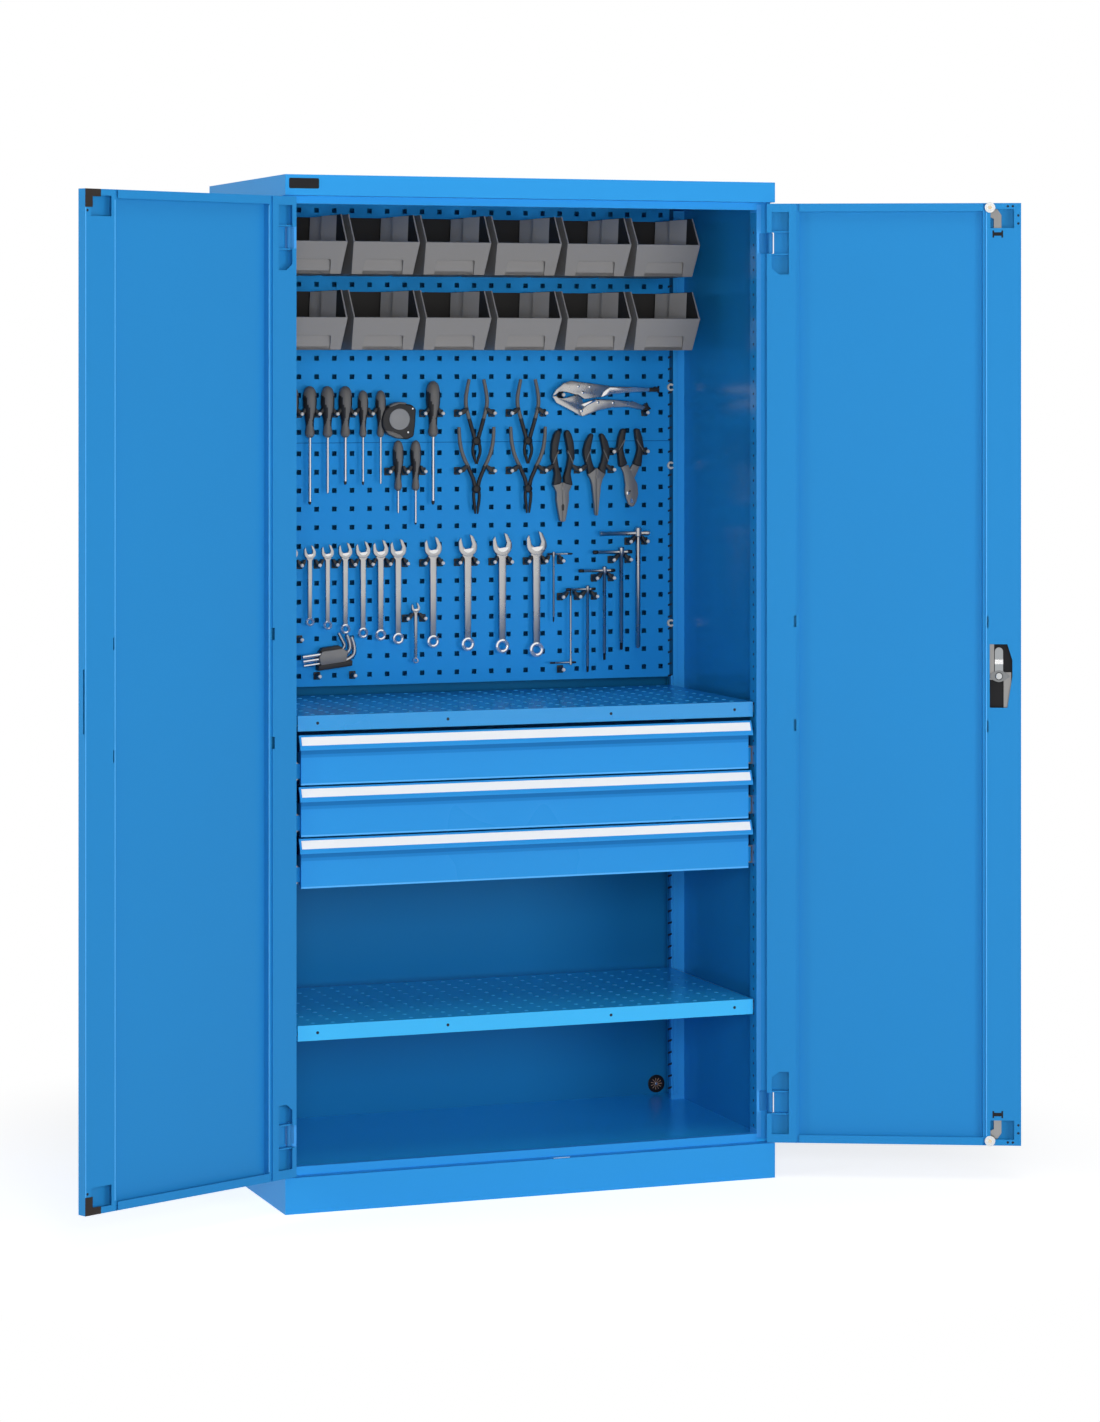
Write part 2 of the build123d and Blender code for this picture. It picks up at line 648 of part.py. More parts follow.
def channel(outer_x, middle_z, height, lip, start_y, length):
    """C-shaped slide member, open towards the cabinet's middle."""
    folded(
        Plane.XZ.offset(-start_y - length),
        [
            (outer_x - SLIDE_SHEET - lip, middle_z - height / 2),
            (outer_x, middle_z - height / 2),
            (outer_x, middle_z + height / 2),
            (outer_x - SLIDE_SHEET - lip, middle_z + height / 2),
        ],
        length,
        thickness=SLIDE_SHEET,
    )


MID_OUTER_X = OPENING_HALF_WIDTH - SLIDE_SHEET - SLIDE_GAP
MID_HEIGHT = SLIDE_HEIGHT - 2 * (SLIDE_SHEET + SLIDE_GAP)
RUNNER_OUTER_X = MID_OUTER_X - SLIDE_SHEET - SLIDE_GAP
RUNNER_HEIGHT = MID_HEIGHT - 2 * (SLIDE_SHEET + SLIDE_GAP)
SLIDE_START_Y = FRONT_FACE_Y + FRONT_RETURN + SLIDE_GAP

with BuildPart() as right_fixed_rails:
    for drawer in range(DRAWER_COUNT):
        channel(
            OPENING_HALF_WIDTH,
            slide_middle(drawer),
            SLIDE_HEIGHT,
            SLIDE_LIP,
            SLIDE_START_Y,
            BOARD_FACE_Y - SLIDE_START_Y,
        )
save(both_sides(right_fixed_rails).part, "drawer_fixed_rails")


def drawer_pieces(index):
    """Tray, folded front, label grip, label strip and the pair of middle slide members."""
    top = drawer_top(index)
    bottom = top - FRONT_HEIGHT
    tray_front = FRONT_FACE_Y + SHEET
    tray_bottom = bottom + TRAY_RISE
    tray_size = (2 * TRAY_HALF_WIDTH, TRAY_DEPTH)
    with BuildPart() as tray:
        middle = (0, tray_front + TRAY_DEPTH / 2)
        rim(*tray_size, TRAY_WALL, tray_bottom, TRAY_HEIGHT, middle)
        with BuildSketch(Plane.XY.offset(tray_bottom)):
            with Locations(middle):
                Rectangle(*tray_size)
        extrude(amount=TRAY_WALL)
        for side in (-1, 1):
            block(
                (side * TRAY_HALF_WIDTH, side * RUNNER_OUTER_X),
                (SLIDE_START_Y, SLIDE_START_Y + RUNNER_LENGTH),
                (slide_middle(index) - RUNNER_HEIGHT / 2, slide_middle(index) + RUNNER_HEIGHT / 2),
            )
    with BuildPart() as front:
        with BuildSketch(Plane.XZ.offset(-FRONT_FACE_Y - SHEET)):
            with Locations((0, (top + bottom) / 2)):
                Rectangle(2 * FRONT_HALF_WIDTH, FRONT_HEIGHT)
        extrude(amount=SHEET)
        with BuildSketch(Plane.XZ.offset(-FRONT_FACE_Y - FRONT_RETURN)):
            with Locations((0, (top + bottom) / 2)):
                Rectangle(2 * FRONT_HALF_WIDTH, FRONT_HEIGHT)
                Rectangle(
                    2 * (FRONT_HALF_WIDTH - SHEET), FRONT_HEIGHT - 2 * SHEET, mode=Mode.SUBTRACT
                )
        extrude(amount=FRONT_RETURN)
    nose_y = FRONT_FACE_Y - GRIP_LEAN
    with BuildPart() as grip:
        folded(
            Plane.YZ.offset(-GRIP_HALF_WIDTH),
            [
                (FRONT_FACE_Y, top),
                (FRONT_FACE_Y - GRIP_SHEET, top),
                (nose_y, top - GRIP_DROP),
                (nose_y, top - GRIP_DROP - GRIP_NOSE),
                (nose_y + GRIP_LIP, top - GRIP_DROP - GRIP_NOSE),
            ],
            2 * GRIP_HALF_WIDTH,
            thickness=GRIP_SHEET,
        )
        block(
            (-GRIP_HALF_WIDTH, GRIP_HALF_WIDTH),
            (FRONT_FACE_Y - GRIP_SHEET, FRONT_FACE_Y),
            (top - GRIP_LIP, top - GRIP_SHEET / 2),
        )
    slope = Vector(0, nose_y - (FRONT_FACE_Y - GRIP_SHEET), -GRIP_DROP).normalized()
    label_plane = Plane(
        origin=(0, FRONT_FACE_Y - GRIP_SHEET, top), x_dir=(1, 0, 0), z_dir=slope.cross(Vector(1, 0, 0))
    )
    with BuildPart() as label:
        with BuildSketch(label_plane):
            with Locations((0, -LABEL_INSET - LABEL_HEIGHT / 2)):
                Rectangle(2 * (GRIP_HALF_WIDTH - LABEL_INSET), LABEL_HEIGHT)
        extrude(amount=LABEL_THICKNESS)
    with BuildPart() as right_mid_rail:
        channel(MID_OUTER_X, slide_middle(index), MID_HEIGHT, SLIDE_LIP, SLIDE_START_Y, MID_RAIL_LENGTH)
    return {
        "tray": tray,
        "front": front,
        "grip": grip,
        "label": label,
        "mid_rails": both_sides(right_mid_rail),
    }


for drawer in range(DRAWER_COUNT):
    for piece_name, piece in drawer_pieces(drawer).items():
        save(piece.part, f"drawer_{drawer + 1}_{piece_name}")


# ---------------------------------------------------------------- doors, modelled shut on the right
def tongue_slot(part_edge_y):
    """Slot in the free edge that the lock's tongue passes through or enters."""
    block(
        (FREE_EDGE_X, FREE_EDGE_X + DOOR_SHEET),
        (part_edge_y - TONGUE_SLOT_WIDTH / 2, part_edge_y + TONGUE_SLOT_WIDTH / 2),
        (TONGUE_SLOT_BOTTOM, TONGUE_SLOT_TOP),
        mode=Mode.SUBTRACT,
    )


def hinge_notches():
    """Corner notches in the hinge edge that clear the knuckles and their arms."""
    for z in KNUCKLES_Z:
        reach = KNUCKLE_HEIGHT / 2 + KNUCKLE_GAP
        block(
            (HINGE_EDGE_X - NOTCH_WIDTH, HINGE_EDGE_X),
            (FRONT_Y, DOOR_INNER_Y),
            (z - reach, z + reach),
            mode=Mode.SUBTRACT,
        )


def door_panel(with_lock):
    """Outer skin with its rim, the end flanges between the posts and the cut-outs in its edges."""
    middle = ((HINGE_EDGE_X + FREE_EDGE_X) / 2, (DOOR_TOP + DOOR_BOTTOM) / 2)
    width = HINGE_EDGE_X - FREE_EDGE_X
    height = DOOR_TOP - DOOR_BOTTOM
    with BuildPart() as panel:
        with BuildSketch(Plane.XZ.offset(-SKIN_Y)):
            with Locations(middle):
                Rectangle(width, height)
        extrude(amount=DOOR_SHEET)
        with BuildSketch(Plane.XZ.offset(-DOOR_INNER_Y)):
            with Locations(middle):
                Rectangle(width, height)
                Rectangle(width - 2 * DOOR_SHEET, height - 2 * DOOR_SHEET, mode=Mode.SUBTRACT)
        extrude(amount=DOOR_THICKNESS)
        for low, high in (
            (DOOR_BOTTOM, DOOR_BOTTOM + DOOR_END_FLANGE),
            (DOOR_TOP - DOOR_END_FLANGE, DOOR_TOP),
        ):
            block(
                (FREE_EDGE_X + LOCK_POST_WIDTH + POST_STEP, HINGE_EDGE_X - HINGE_POST_WIDTH - POST_STEP),
                (DOOR_INNER_Y - DOOR_SHEET, DOOR_INNER_Y),
                (low, high),
            )
        hinge_notches()
        tongue_slot(TONGUE_Y + TONGUE_THICKNESS / 2)
        if with_lock:
            half_width = ROLLER_RADIUS + SLOT_CLEARANCE
            for end, inward in ((DOOR_BOTTOM, 1), (DOOR_TOP, -1)):
                block(
                    (FREE_EDGE_X + ROD_FROM_EDGE - ROD_WIDTH, ROLLER_X + half_width),
                    (ROLLER_Y - SLOT_CLEARANCE, ROD_Y + ROD_THICKNESS + SLOT_CLEARANCE),
                    (end, end + inward * DOOR_SHEET),
                    mode=Mode.SUBTRACT,
                )
            with BuildSketch(Plane.XZ.offset(-SKIN_Y)):
                with Locations((SPINDLE_X, LOCK_Z)):
                    Circle(SPINDLE_RADIUS + SPINDLE_CLEARANCE)
            extrude(amount=DOOR_SHEET, mode=Mode.SUBTRACT)
    return panel


def post(inner_x, outer_x, inward):
    """Channel inside a door edge: face, stepped inner bend and a leg down to the skin."""
    face_y = DOOR_INNER_Y
    step_x = inner_x - inward * POST_STEP
    folded(
        Plane.XY.offset(DOOR_BOTTOM + DOOR_SHEET),
        [
            (outer_x, face_y),
            (inner_x, face_y),
            (inner_x, face_y - POST_STEP_DEPTH),
            (step_x, face_y - POST_STEP_DEPTH),
            (step_x, SKIN_Y),
        ],
        DOOR_TOP - DOOR_BOTTOM - 2 * DOOR_SHEET,
        thickness=DOOR_SHEET,
        side=Side.LEFT if inward > 0 else Side.RIGHT,
    )


def post_notches(inner_x, inward):
    """Two small notches in the post's inner edge, either side of the door's mid height."""
    middle_z = (DOOR_BOTTOM + DOOR_TOP) / 2
    for z in (middle_z - POST_NOTCH_OFFSET, middle_z + POST_NOTCH_OFFSET):
        block(
            (inner_x, inner_x + inward * POST_NOTCH_DEPTH),
            (DOOR_INNER_Y - POST_STEP_DEPTH - DOOR_SHEET, DOOR_INNER_Y),
            (z - POST_NOTCH_HEIGHT / 2, z + POST_NOTCH_HEIGHT / 2),
            mode=Mode.SUBTRACT,
        )


def hinge_post():
    """Post at the hinge edge with its two chamfered windows and the lugs that hold the pins."""
    outer_x = HINGE_EDGE_X - DOOR_SHEET
    inner_x = HINGE_EDGE_X - HINGE_POST_WIDTH
    with BuildPart() as hinge_side:
        post(inner_x, outer_x, 1)
        post_notches(inner_x, 1)
        hinge_notches()
        for end, inward in ((DOOR_BOTTOM, 1), (DOOR_TOP, -1)):
            near = end + inward * WINDOW_FROM_END
            far = near + inward * WINDOW_SIZE[1]
            edge = HINGE_EDGE_X - WINDOW_FROM_EDGE
            outline = [
                (edge, near),
                (edge, far - inward * WINDOW_CHAMFER[1]),
                (edge - WINDOW_CHAMFER[0], far),
                (edge - WINDOW_SIZE[0], far),
                (edge - WINDOW_SIZE[0], near),
            ]
            prism(Plane.XZ.offset(-DOOR_INNER_Y), outline, DOOR_SHEET, mode=Mode.SUBTRACT)
        for z in KNUCKLES_Z:
            for direction in (-1, 1):
                lug_z = z + direction * (KNUCKLE_HEIGHT / 2 + KNUCKLE_GAP)
                block(
                    (HINGE_EDGE_X - HINGE_POST_WIDTH - POST_STEP + DOOR_SHEET, outer_x),
                    (SKIN_Y, DOOR_INNER_Y - DOOR_SHEET - POST_STEP_DEPTH),
                    (lug_z, lug_z + direction * LUG_THICKNESS),
                )
            bore_reach = KNUCKLE_HEIGHT / 2 + KNUCKLE_GAP + LUG_THICKNESS
            with BuildSketch(Plane.XY.offset(z - bore_reach)):
                with Locations((PIVOT_X, PIVOT_Y)):
                    Circle(PIN_RADIUS + PIN_CLEARANCE)
            extrude(amount=2 * bore_reach, mode=Mode.SUBTRACT)
    return hinge_side


def lock_post(with_lock):
    """Post at the free edge: corner windows at both ends and, with the lock, its window."""
    outer_x = FREE_EDGE_X + DOOR_SHEET
    inner_x = FREE_EDGE_X + LOCK_POST_WIDTH
    face = Plane.XZ.offset(-DOOR_INNER_Y)
    with BuildPart() as lock_side:
        post(inner_x, outer_x, -1)
        post_notches(inner_x, -1)
        with BuildSketch(face):
            for end, inward in ((DOOR_BOTTOM, 1), (DOOR_TOP, -1)):
                window_x = FREE_EDGE_X + CORNER_WINDOW_FROM_EDGE + CORNER_WINDOW[0] / 2
                window_z = end + inward * (CORNER_WINDOW_FROM_END + CORNER_WINDOW[1] / 2)
                with Locations((window_x, window_z)):
                    Rectangle(*CORNER_WINDOW)
        extrude(amount=DOOR_SHEET, mode=Mode.SUBTRACT)
        if with_lock:
            corner = (LOCK_WINDOW_TOP - LOCK_WINDOW_BOTTOM) / 4
            slanted_x = LOCK_WINDOW_NEAR + LOCK_WINDOW_WIDENING
            outline = [
                (LOCK_WINDOW_FAR, LOCK_WINDOW_BOTTOM),
                (slanted_x, LOCK_WINDOW_BOTTOM),
                (LOCK_WINDOW_NEAR, LOCK_WINDOW_BOTTOM + 2 * corner),
                (LOCK_WINDOW_NEAR, LOCK_WINDOW_TOP - corner),
                (slanted_x, LOCK_WINDOW_TOP),
                (LOCK_WINDOW_FAR, LOCK_WINDOW_TOP),
            ]
            prism(face, outline, DOOR_SHEET, mode=Mode.SUBTRACT)
    return lock_side


def save_door_piece(piece, name, side):
    """Store a shut right-hand piece, or its mirror image for the left door, swung open."""
    shut = piece.part if side > 0 else piece.part.mirror(Plane.YZ)
    save(swung(shut, side), name)


for door_side, door_name in ((1, "right"), (-1, "left")):
    has_lock = door_side > 0
    save_door_piece(door_panel(has_lock), f"{door_name}_door_panel", door_side)
    save_door_piece(hinge_post(), f"{door_name}_hinge_post", door_side)
    save_door_piece(lock_post(has_lock), f"{door_name}_lock_post", door_side)

with BuildPart() as guards:
    for end, inward in ((DOOR_BOTTOM, 1), (DOOR_TOP, -1)):
        outline = [
            (FREE_EDGE_X, end),
            (FREE_EDGE_X + GUARD_LEG, end),
            (FREE_EDGE_X + GUARD_LEG, end + inward * GUARD_WIDTH),
            (FREE_EDGE_X + GUARD_WIDTH, end + inward * GUARD_WIDTH),
            (FREE_EDGE_X + GUARD_WIDTH, end + inward * GUARD_LEG),
            (FREE_EDGE_X, end + inward * GUARD_LEG),
        ]
        prism(Plane.XZ.offset(-DOOR_INNER_Y - GUARD_THICKNESS), outline, GUARD_THICKNESS)
save_door_piece(guards, "door_corner_guards", -1)

# ---------------------------------------------------------------- hinges on the frame
with BuildPart() as right_hinge_brackets:
    for knuckle_z in KNUCKLES_Z:
        base = Plane.XY.offset(knuckle_z - KNUCKLE_HEIGHT / 2)
        with BuildSketch(base):
            with Locations((PIVOT_X, PIVOT_Y)):
                Circle(KNUCKLE_RADIUS)
            with Locations((PIVOT_X, (PIVOT_Y + FRAME_Y) / 2)):
                Rectangle(HINGE_ARM, FRAME_Y - PIVOT_Y)
            with Locations((HALF_W - HINGE_PLATE_WIDTH / 2 - SHEET, FRAME_Y - HINGE_PLATE / 2)):
                Rectangle(HINGE_PLATE_WIDTH, HINGE_PLATE)
            with Locations((PIVOT_X, PIVOT_Y)):
                Circle(PIN_RADIUS + PIN_CLEARANCE, mode=Mode.SUBTRACT)
        extrude(amount=KNUCKLE_HEIGHT)
save(both_sides(right_hinge_brackets).part, "hinge_brackets")

PIN_REACH = KNUCKLE_HEIGHT / 2 + KNUCKLE_GAP + LUG_THICKNESS + PIN_STANDOUT
with BuildPart() as right_hinge_pins:
    for knuckle_z in KNUCKLES_Z:
        with BuildSketch(Plane.XY.offset(knuckle_z - PIN_REACH)):
            with Locations((PIVOT_X, PIVOT_Y)):
                Circle(PIN_RADIUS)
        extrude(amount=2 * PIN_REACH)
save(both_sides(right_hinge_pins).part, "hinge_pins")

# ---------------------------------------------------------------- lock on the right door
with BuildPart() as lock_case:
    block(
        (LOCK_WINDOW_NEAR - CASE_MARGIN, LOCK_WINDOW_FAR + CASE_MARGIN),
        (SKIN_Y, CASE_Y),
        (LOCK_WINDOW_BOTTOM - CASE_MARGIN, LOCK_WINDOW_TOP + CASE_MARGIN),
    )
    fillet(lock_case.edges().filter_by(Axis.Y), radius=CASE_MARGIN)
    with BuildSketch(Plane.XZ.offset(-CASE_Y)):
        with Locations((SPINDLE_X, LOCK_Z)):
            Circle(SPINDLE_RADIUS + SPINDLE_CLEARANCE)
    extrude(amount=CASE_Y - SKIN_Y, mode=Mode.SUBTRACT)
save_door_piece(lock_case, "lock_case", 1)

with BuildPart() as lock_handle:
    boss_plane = Plane.XZ.offset(-FRONT_Y)
    with BuildSketch(boss_plane):
        with Locations((SPINDLE_X, LOCK_Z)):
            RegularPolygon(HANDLE_BOSS_RADIUS, HANDLE_BOSS_SIDES)
    extrude(amount=HANDLE_BOSS_HEIGHT)
    bar_width, bar_length, bar_height = HANDLE_BAR
    with BuildSketch(boss_plane.offset(HANDLE_BOSS_HEIGHT)):
        with Locations((SPINDLE_X, LOCK_Z - bar_length / 2 + HANDLE_BOSS_RADIUS)):
            RectangleRounded(bar_width, bar_length, bar_width / 2 - HANDLE_END_FLAT)
    extrude(amount=bar_height)
    chamfer(lock_handle.faces().sort_by(Axis.Y)[0].edges(), length=bar_height / 6)
    with BuildSketch(boss_plane):
        with Locations((SPINDLE_X, LOCK_Z)):
            Circle(SPINDLE_RADIUS)
    extrude(amount=FRONT_Y - TONGUE_Y)
save_door_piece(lock_handle, "lock_handle", 1)

with BuildPart() as lock_cam:
    cam_plane = Plane.XZ.offset(-TONGUE_Y - TONGUE_THICKNESS)
    with BuildSketch(cam_plane):
        with Locations((SPINDLE_X, LOCK_Z)):
            SlotOverall(CAM_LENGTH, CAM_WIDTH)
        with Locations((SPINDLE_X, LOCK_Z + TONGUE_LENGTH / 2)):
            Rectangle(TONGUE_WIDTH, TONGUE_LENGTH)
    extrude(amount=TONGUE_THICKNESS)
    chamfer(
        lock_cam.edges().filter_by(Axis.Y).group_by(Axis.Z)[-1],
        length=TONGUE_WIDTH / 4,
    )
save_door_piece(lock_cam, "lock_cam", 1)


def rod_outline(end_z, direction, jog):
    """Flat rod from beside the spindle to the door's end, with a foot that carries the roller."""
    half = ROD_WIDTH / 2
    line_x = FREE_EDGE_X + ROD_FROM_EDGE
    jog_x = SPINDLE_X + jog
    jog_z = LOCK_Z + direction * ROD_STRAIGHT
    straight_z = jog_z + direction * ROD_JOG_LENGTH
    foot_z = end_z - direction * ROD_END_INSET
    foot_x = ROLLER_X + half
    tip_z = end_z - direction * (ROLLER_RADIUS - ROLLER_PROUD - half)
    return [
        (jog_x - half, LOCK_Z - direction * half),
        (jog_x - half, jog_z),
        (line_x - half, straight_z),
        (line_x - half, foot_z),
        (ROLLER_X - half, tip_z),
        (foot_x, tip_z),
        (foot_x, foot_z),
        (line_x + half, foot_z - direction * half),
        (line_x + half, straight_z),
        (jog_x + half, jog_z),
        (jog_x + half, LOCK_Z - direction * half),
    ]


def rod_and_roller(end_z, direction, jog):
    """One lock rod with its axle, and the roller that runs on it."""
    roller_z = end_z - direction * (ROLLER_RADIUS - ROLLER_PROUD)
    roller_plane = Plane.XZ.offset(-ROLLER_Y)
    with BuildPart() as rod:
        prism(Plane.XZ.offset(-ROD_Y - ROD_THICKNESS), rod_outline(end_z, direction, jog), ROD_THICKNESS)
        with BuildSketch(roller_plane):
            with Locations((ROLLER_X, roller_z)):
                Circle(AXLE_RADIUS)
        extrude(amount=ROLLER_Y - ROD_Y)
    with BuildPart() as roller:
        with BuildSketch(Plane.XZ.offset(-ROD_Y + SLIDE_GAP)):
            with Locations((ROLLER_X, roller_z)):
                Circle(ROLLER_RADIUS)
                Circle(AXLE_RADIUS + ROLLER_BORE_CLEARANCE, mode=Mode.SUBTRACT)
        extrude(amount=ROD_Y - SLIDE_GAP - ROLLER_Y)
    return rod, roller


for rod_name, rod_end, rod_direction, rod_jog in (
    ("upper", DOOR_TOP, 1, ROD_JOG),
    ("lower", DOOR_BOTTOM, -1, -ROD_JOG),
):
    lock_rod, rod_roller = rod_and_roller(rod_end, rod_direction, rod_jog)
    save_door_piece(lock_rod, f"{rod_name}_lock_rod", 1)
    save_door_piece(rod_roller, f"{rod_name}_rod_roller", 1)

with BuildPart() as rod_guides:
    guide_x = FREE_EDGE_X + ROD_FROM_EDGE
    for guide_z in (DOOR_BOTTOM + GUIDE_FROM_END, DOOR_TOP - GUIDE_FROM_END):
        block(
            (guide_x - GUIDE_WIDTH / 2, guide_x + GUIDE_WIDTH / 2),
            (SKIN_Y, TONGUE_Y + TONGUE_THICKNESS),
            (guide_z - GUIDE_HEIGHT / 2, guide_z + GUIDE_HEIGHT / 2),
        )
        block(
            (guide_x - ROD_WIDTH / 2 - GUIDE_CLEARANCE, guide_x + ROD_WIDTH / 2 + GUIDE_CLEARANCE),
            (ROD_Y - GUIDE_CLEARANCE, ROD_Y + ROD_THICKNESS + GUIDE_CLEARANCE),
            (guide_z - GUIDE_HEIGHT / 2, guide_z + GUIDE_HEIGHT / 2),
            mode=Mode.SUBTRACT,
        )
save_door_piece(rod_guides, "rod_guides", 1)


# ---------------------------------------------------------------- fittings on the perforated panels
LOWER, UPPER = 0, 1


def comb(first, count, row, slot_half, step=1):
    """Tool holder: a bar on the panel with prongs that open outwards between the tools."""
    z = hole_row_z(*row)
    left = hole_column_x(first) - PRONG_HALF
    right = hole_column_x(first + count * step) + PRONG_HALF
    tip_y = BOARD_FACE_Y - HOOK_REACH
    root_y = BOARD_FACE_Y - HOOK_ROOT
    outline = [(left, BOARD_FACE_Y), (left, tip_y)]
    for tool in range(count):
        gap_left = hole_column_x(first + tool * step) + PRONG_HALF
        gap_right = hole_column_x(first + (tool + 1) * step) - PRONG_HALF
        middle = (gap_left + gap_right) / 2
        outline += [
            (gap_left, tip_y),
            (middle - slot_half, TOOL_PLANE_Y),
            (middle - slot_half, root_y),
            (middle + slot_half, root_y),
            (middle + slot_half, TOOL_PLANE_Y),
            (gap_right, tip_y),
        ]
    outline += [(right, tip_y), (right, BOARD_FACE_Y)]
    prism(Plane.XY.offset(z - HOOK_DROP), outline, HOOK_DROP + HOOK_RISE)


def peg(column, row, rise=None):
    """Single square hook arm on its base plate, in one hole."""
    x = hole_column_x(column)
    z = hole_row_z(*row)
    rise = HOOK_RISE if rise is None else rise
    block(
        (x - PEG_PLATE / 2, x + PEG_PLATE / 2),
        (BOARD_FACE_Y - PEG_PLATE_THICKNESS, BOARD_FACE_Y),
        (z - PEG_PLATE / 2, z + PEG_PLATE / 2),
    )
    block(
        (x - PRONG_HALF, x + PRONG_HALF),
        (BOARD_FACE_Y - HOOK_REACH, BOARD_FACE_Y),
        (z - HOOK_DROP, z + rise),
    )


def rest_z(row):
    """Height at which a tool rests on the hooks of a row."""
    return hole_row_z(*row) + HOOK_RISE + SEAT_GAP


DRIVER_ROW = (UPPER, 1)
SMALL_DRIVER_ROW = (LOWER, 11)
SPANNER_ROW = (LOWER, 6)
SMALL_SPANNER_ROW = (LOWER, 3)
# first column of the pair of hooks, row, grip radius, grip above and below the hook, blade length
SCREWDRIVERS = (
    (2, DRIVER_ROW, 14.0, 44.5, 61.0, 139.0),
    (3, DRIVER_ROW, 14.0, 44.5, 61.0, 137.0),
    (4, DRIVER_ROW, 14.0, 44.5, 61.0, 115.0),
    (5, DRIVER_ROW, 14.0, 44.5, 61.0, 97.0),
    (6, DRIVER_ROW, 11.0, 35.5, 61.0, 98.0),
    (7, DRIVER_ROW, 11.0, 35.5, 61.0, 96.0),
    (10, DRIVER_ROW, 14.5, 54.5, 61.0, 140.0),
    (8, SMALL_DRIVER_ROW, 11.0, 52.0, 52.0, 46.0),
    (9, SMALL_DRIVER_ROW, 11.0, 52.0, 52.0, 70.0),
)
# first column of the pair of hooks, row, length, head width
SPANNERS = (
    (2, SPANNER_ROW, 158.0, 24.0),
    (3, SPANNER_ROW, 166.0, 25.0),
    (4, SPANNER_ROW, 175.0, 26.0),
    (5, SPANNER_ROW, 188.0, 29.0),
    (6, SPANNER_ROW, 200.0, 31.0),
    (7, SPANNER_ROW, 208.0, 33.0),
    (8, SPANNER_ROW, 218.0, 34.0),
    (10, SPANNER_ROW, 230.0, 37.0),
    (12, SPANNER_ROW, 242.0, 40.0),
    (14, SPANNER_ROW, 251.0, 42.0),
    (16, SPANNER_ROW, 263.0, 44.0),
    (9, SMALL_SPANNER_ROW, 126.0, 18.0),
)
KEY_ROW = (LOWER, 4)
# first column of the pair of hooks, row, bar reach left and right of the shaft, shaft length, shaft width
KEY_ON_SPANNER_HOOKS = (17, SPANNER_ROW, 14.0, 42.0, 142.0, 4.0)
T_KEYS = (
    KEY_ON_SPANNER_HOOKS,
    (19, KEY_ROW, 48.0, 18.0, 174.0, 6.0),
    (20, (LOWER, 5), 58.0, 24.0, 188.0, 7.0),
    (21, (LOWER, 6), 64.0, 24.0, 206.0, 8.0),
    (22, (LOWER, 7), 87.0, 26.0, 242.0, 10.0),
)
# key that hangs upside down: its bar lies on a peg and its shaft stands in the comb above
UPTURNED_KEY = (18, (LOWER, 0), 46.0, 12.0, 150.0, 4.0)
CIRCLIP_COLUMNS = (12, 15)
CIRCLIP_ROWS = ((UPPER, 1), (LOWER, 11))

with BuildPart() as tool_hooks:
    comb(2, 6, DRIVER_ROW, DRIVER_SLOT_HALF)
    comb(10, 1, DRIVER_ROW, DRIVER_SLOT_HALF)
    comb(8, 2, SMALL_DRIVER_ROW, DRIVER_SLOT_HALF)
    comb(2, 7, SPANNER_ROW, SPANNER_SLOT_HALF)
    for spanner_column in (10, 12, 14):
        comb(spanner_column, 1, SPANNER_ROW, SPANNER_SLOT_HALF)
    comb(16, 2, SPANNER_ROW, SPANNER_SLOT_HALF)
    comb(9, 1, SMALL_SPANNER_ROW, KEY_SLOT_HALF)
    for column in CIRCLIP_COLUMNS:
        comb(column, 1, CIRCLIP_ROWS[0], PLIERS_SLOT_HALF, step=2)
    comb(CIRCLIP_COLUMNS[0], 1, CIRCLIP_ROWS[1], PLIERS_SLOT_HALF, step=2)
    comb(CIRCLIP_COLUMNS[1], 3, CIRCLIP_ROWS[1], PLIERS_SLOT_HALF, step=2)
    comb(21, 1, (LOWER, 12), PLIERS_SLOT_HALF, step=2)
    comb(UPTURNED_KEY[0], 2, KEY_ROW, KEY_SLOT_HALF)
    for column, row, *_ in T_KEYS[2:]:
        comb(column, 1, row, KEY_SLOT_HALF)
    for column, row in ((9, (UPPER, 0)), (4, (LOWER, 0)), (6, (LOWER, 0)), (3, (LOWER, 2)), UPTURNED_KEY[:2]):
        peg(column, row)
    peg(23, (UPPER, 1), rise=LOW_PEG_RISE)
    peg(18, (UPPER, 2), rise=LOW_PEG_RISE)
save(tool_hooks.part, "tool_hooks")


def grip_section(x, z, radius, height, taper=0.0):
    """Faceted length of a screwdriver grip, standing on z."""
    with BuildSketch(Plane.XY.offset(z)) as section:
        with Locations((x, TOOL_PLANE_Y)):
            RegularPolygon(radius, GRIP_SIDES)
    extrude(section.sketch, amount=height, taper=taper)


with BuildPart() as screwdriver_handles:
    for column, row, radius, above, below, _ in SCREWDRIVERS:
        x = hole_column_x(column + 0.5)
        z = rest_z(row)
        grip_section(x, z, radius, above, GRIP_TAPER)
        grip_section(x, z - below + DRIVER_COLLAR, DRIVER_NECK_RADIUS, below - DRIVER_COLLAR)
        grip_section(x, z - below, radius * DRIVER_COLLAR_SHARE, DRIVER_COLLAR)
save(screwdriver_handles.part, "screwdriver_handles")

with BuildPart() as screwdriver_blades:
    for column, row, _, _, below, blade in SCREWDRIVERS:
        with BuildSketch(Plane.XY.offset(rest_z(row) - below - blade)):
            with Locations((hole_column_x(column + 0.5), TOOL_PLANE_Y)):
                RegularPolygon(BLADE_RADIUS, GRIP_SIDES)
        extrude(amount=blade)
save(screwdriver_blades.part, "screwdriver_blades")


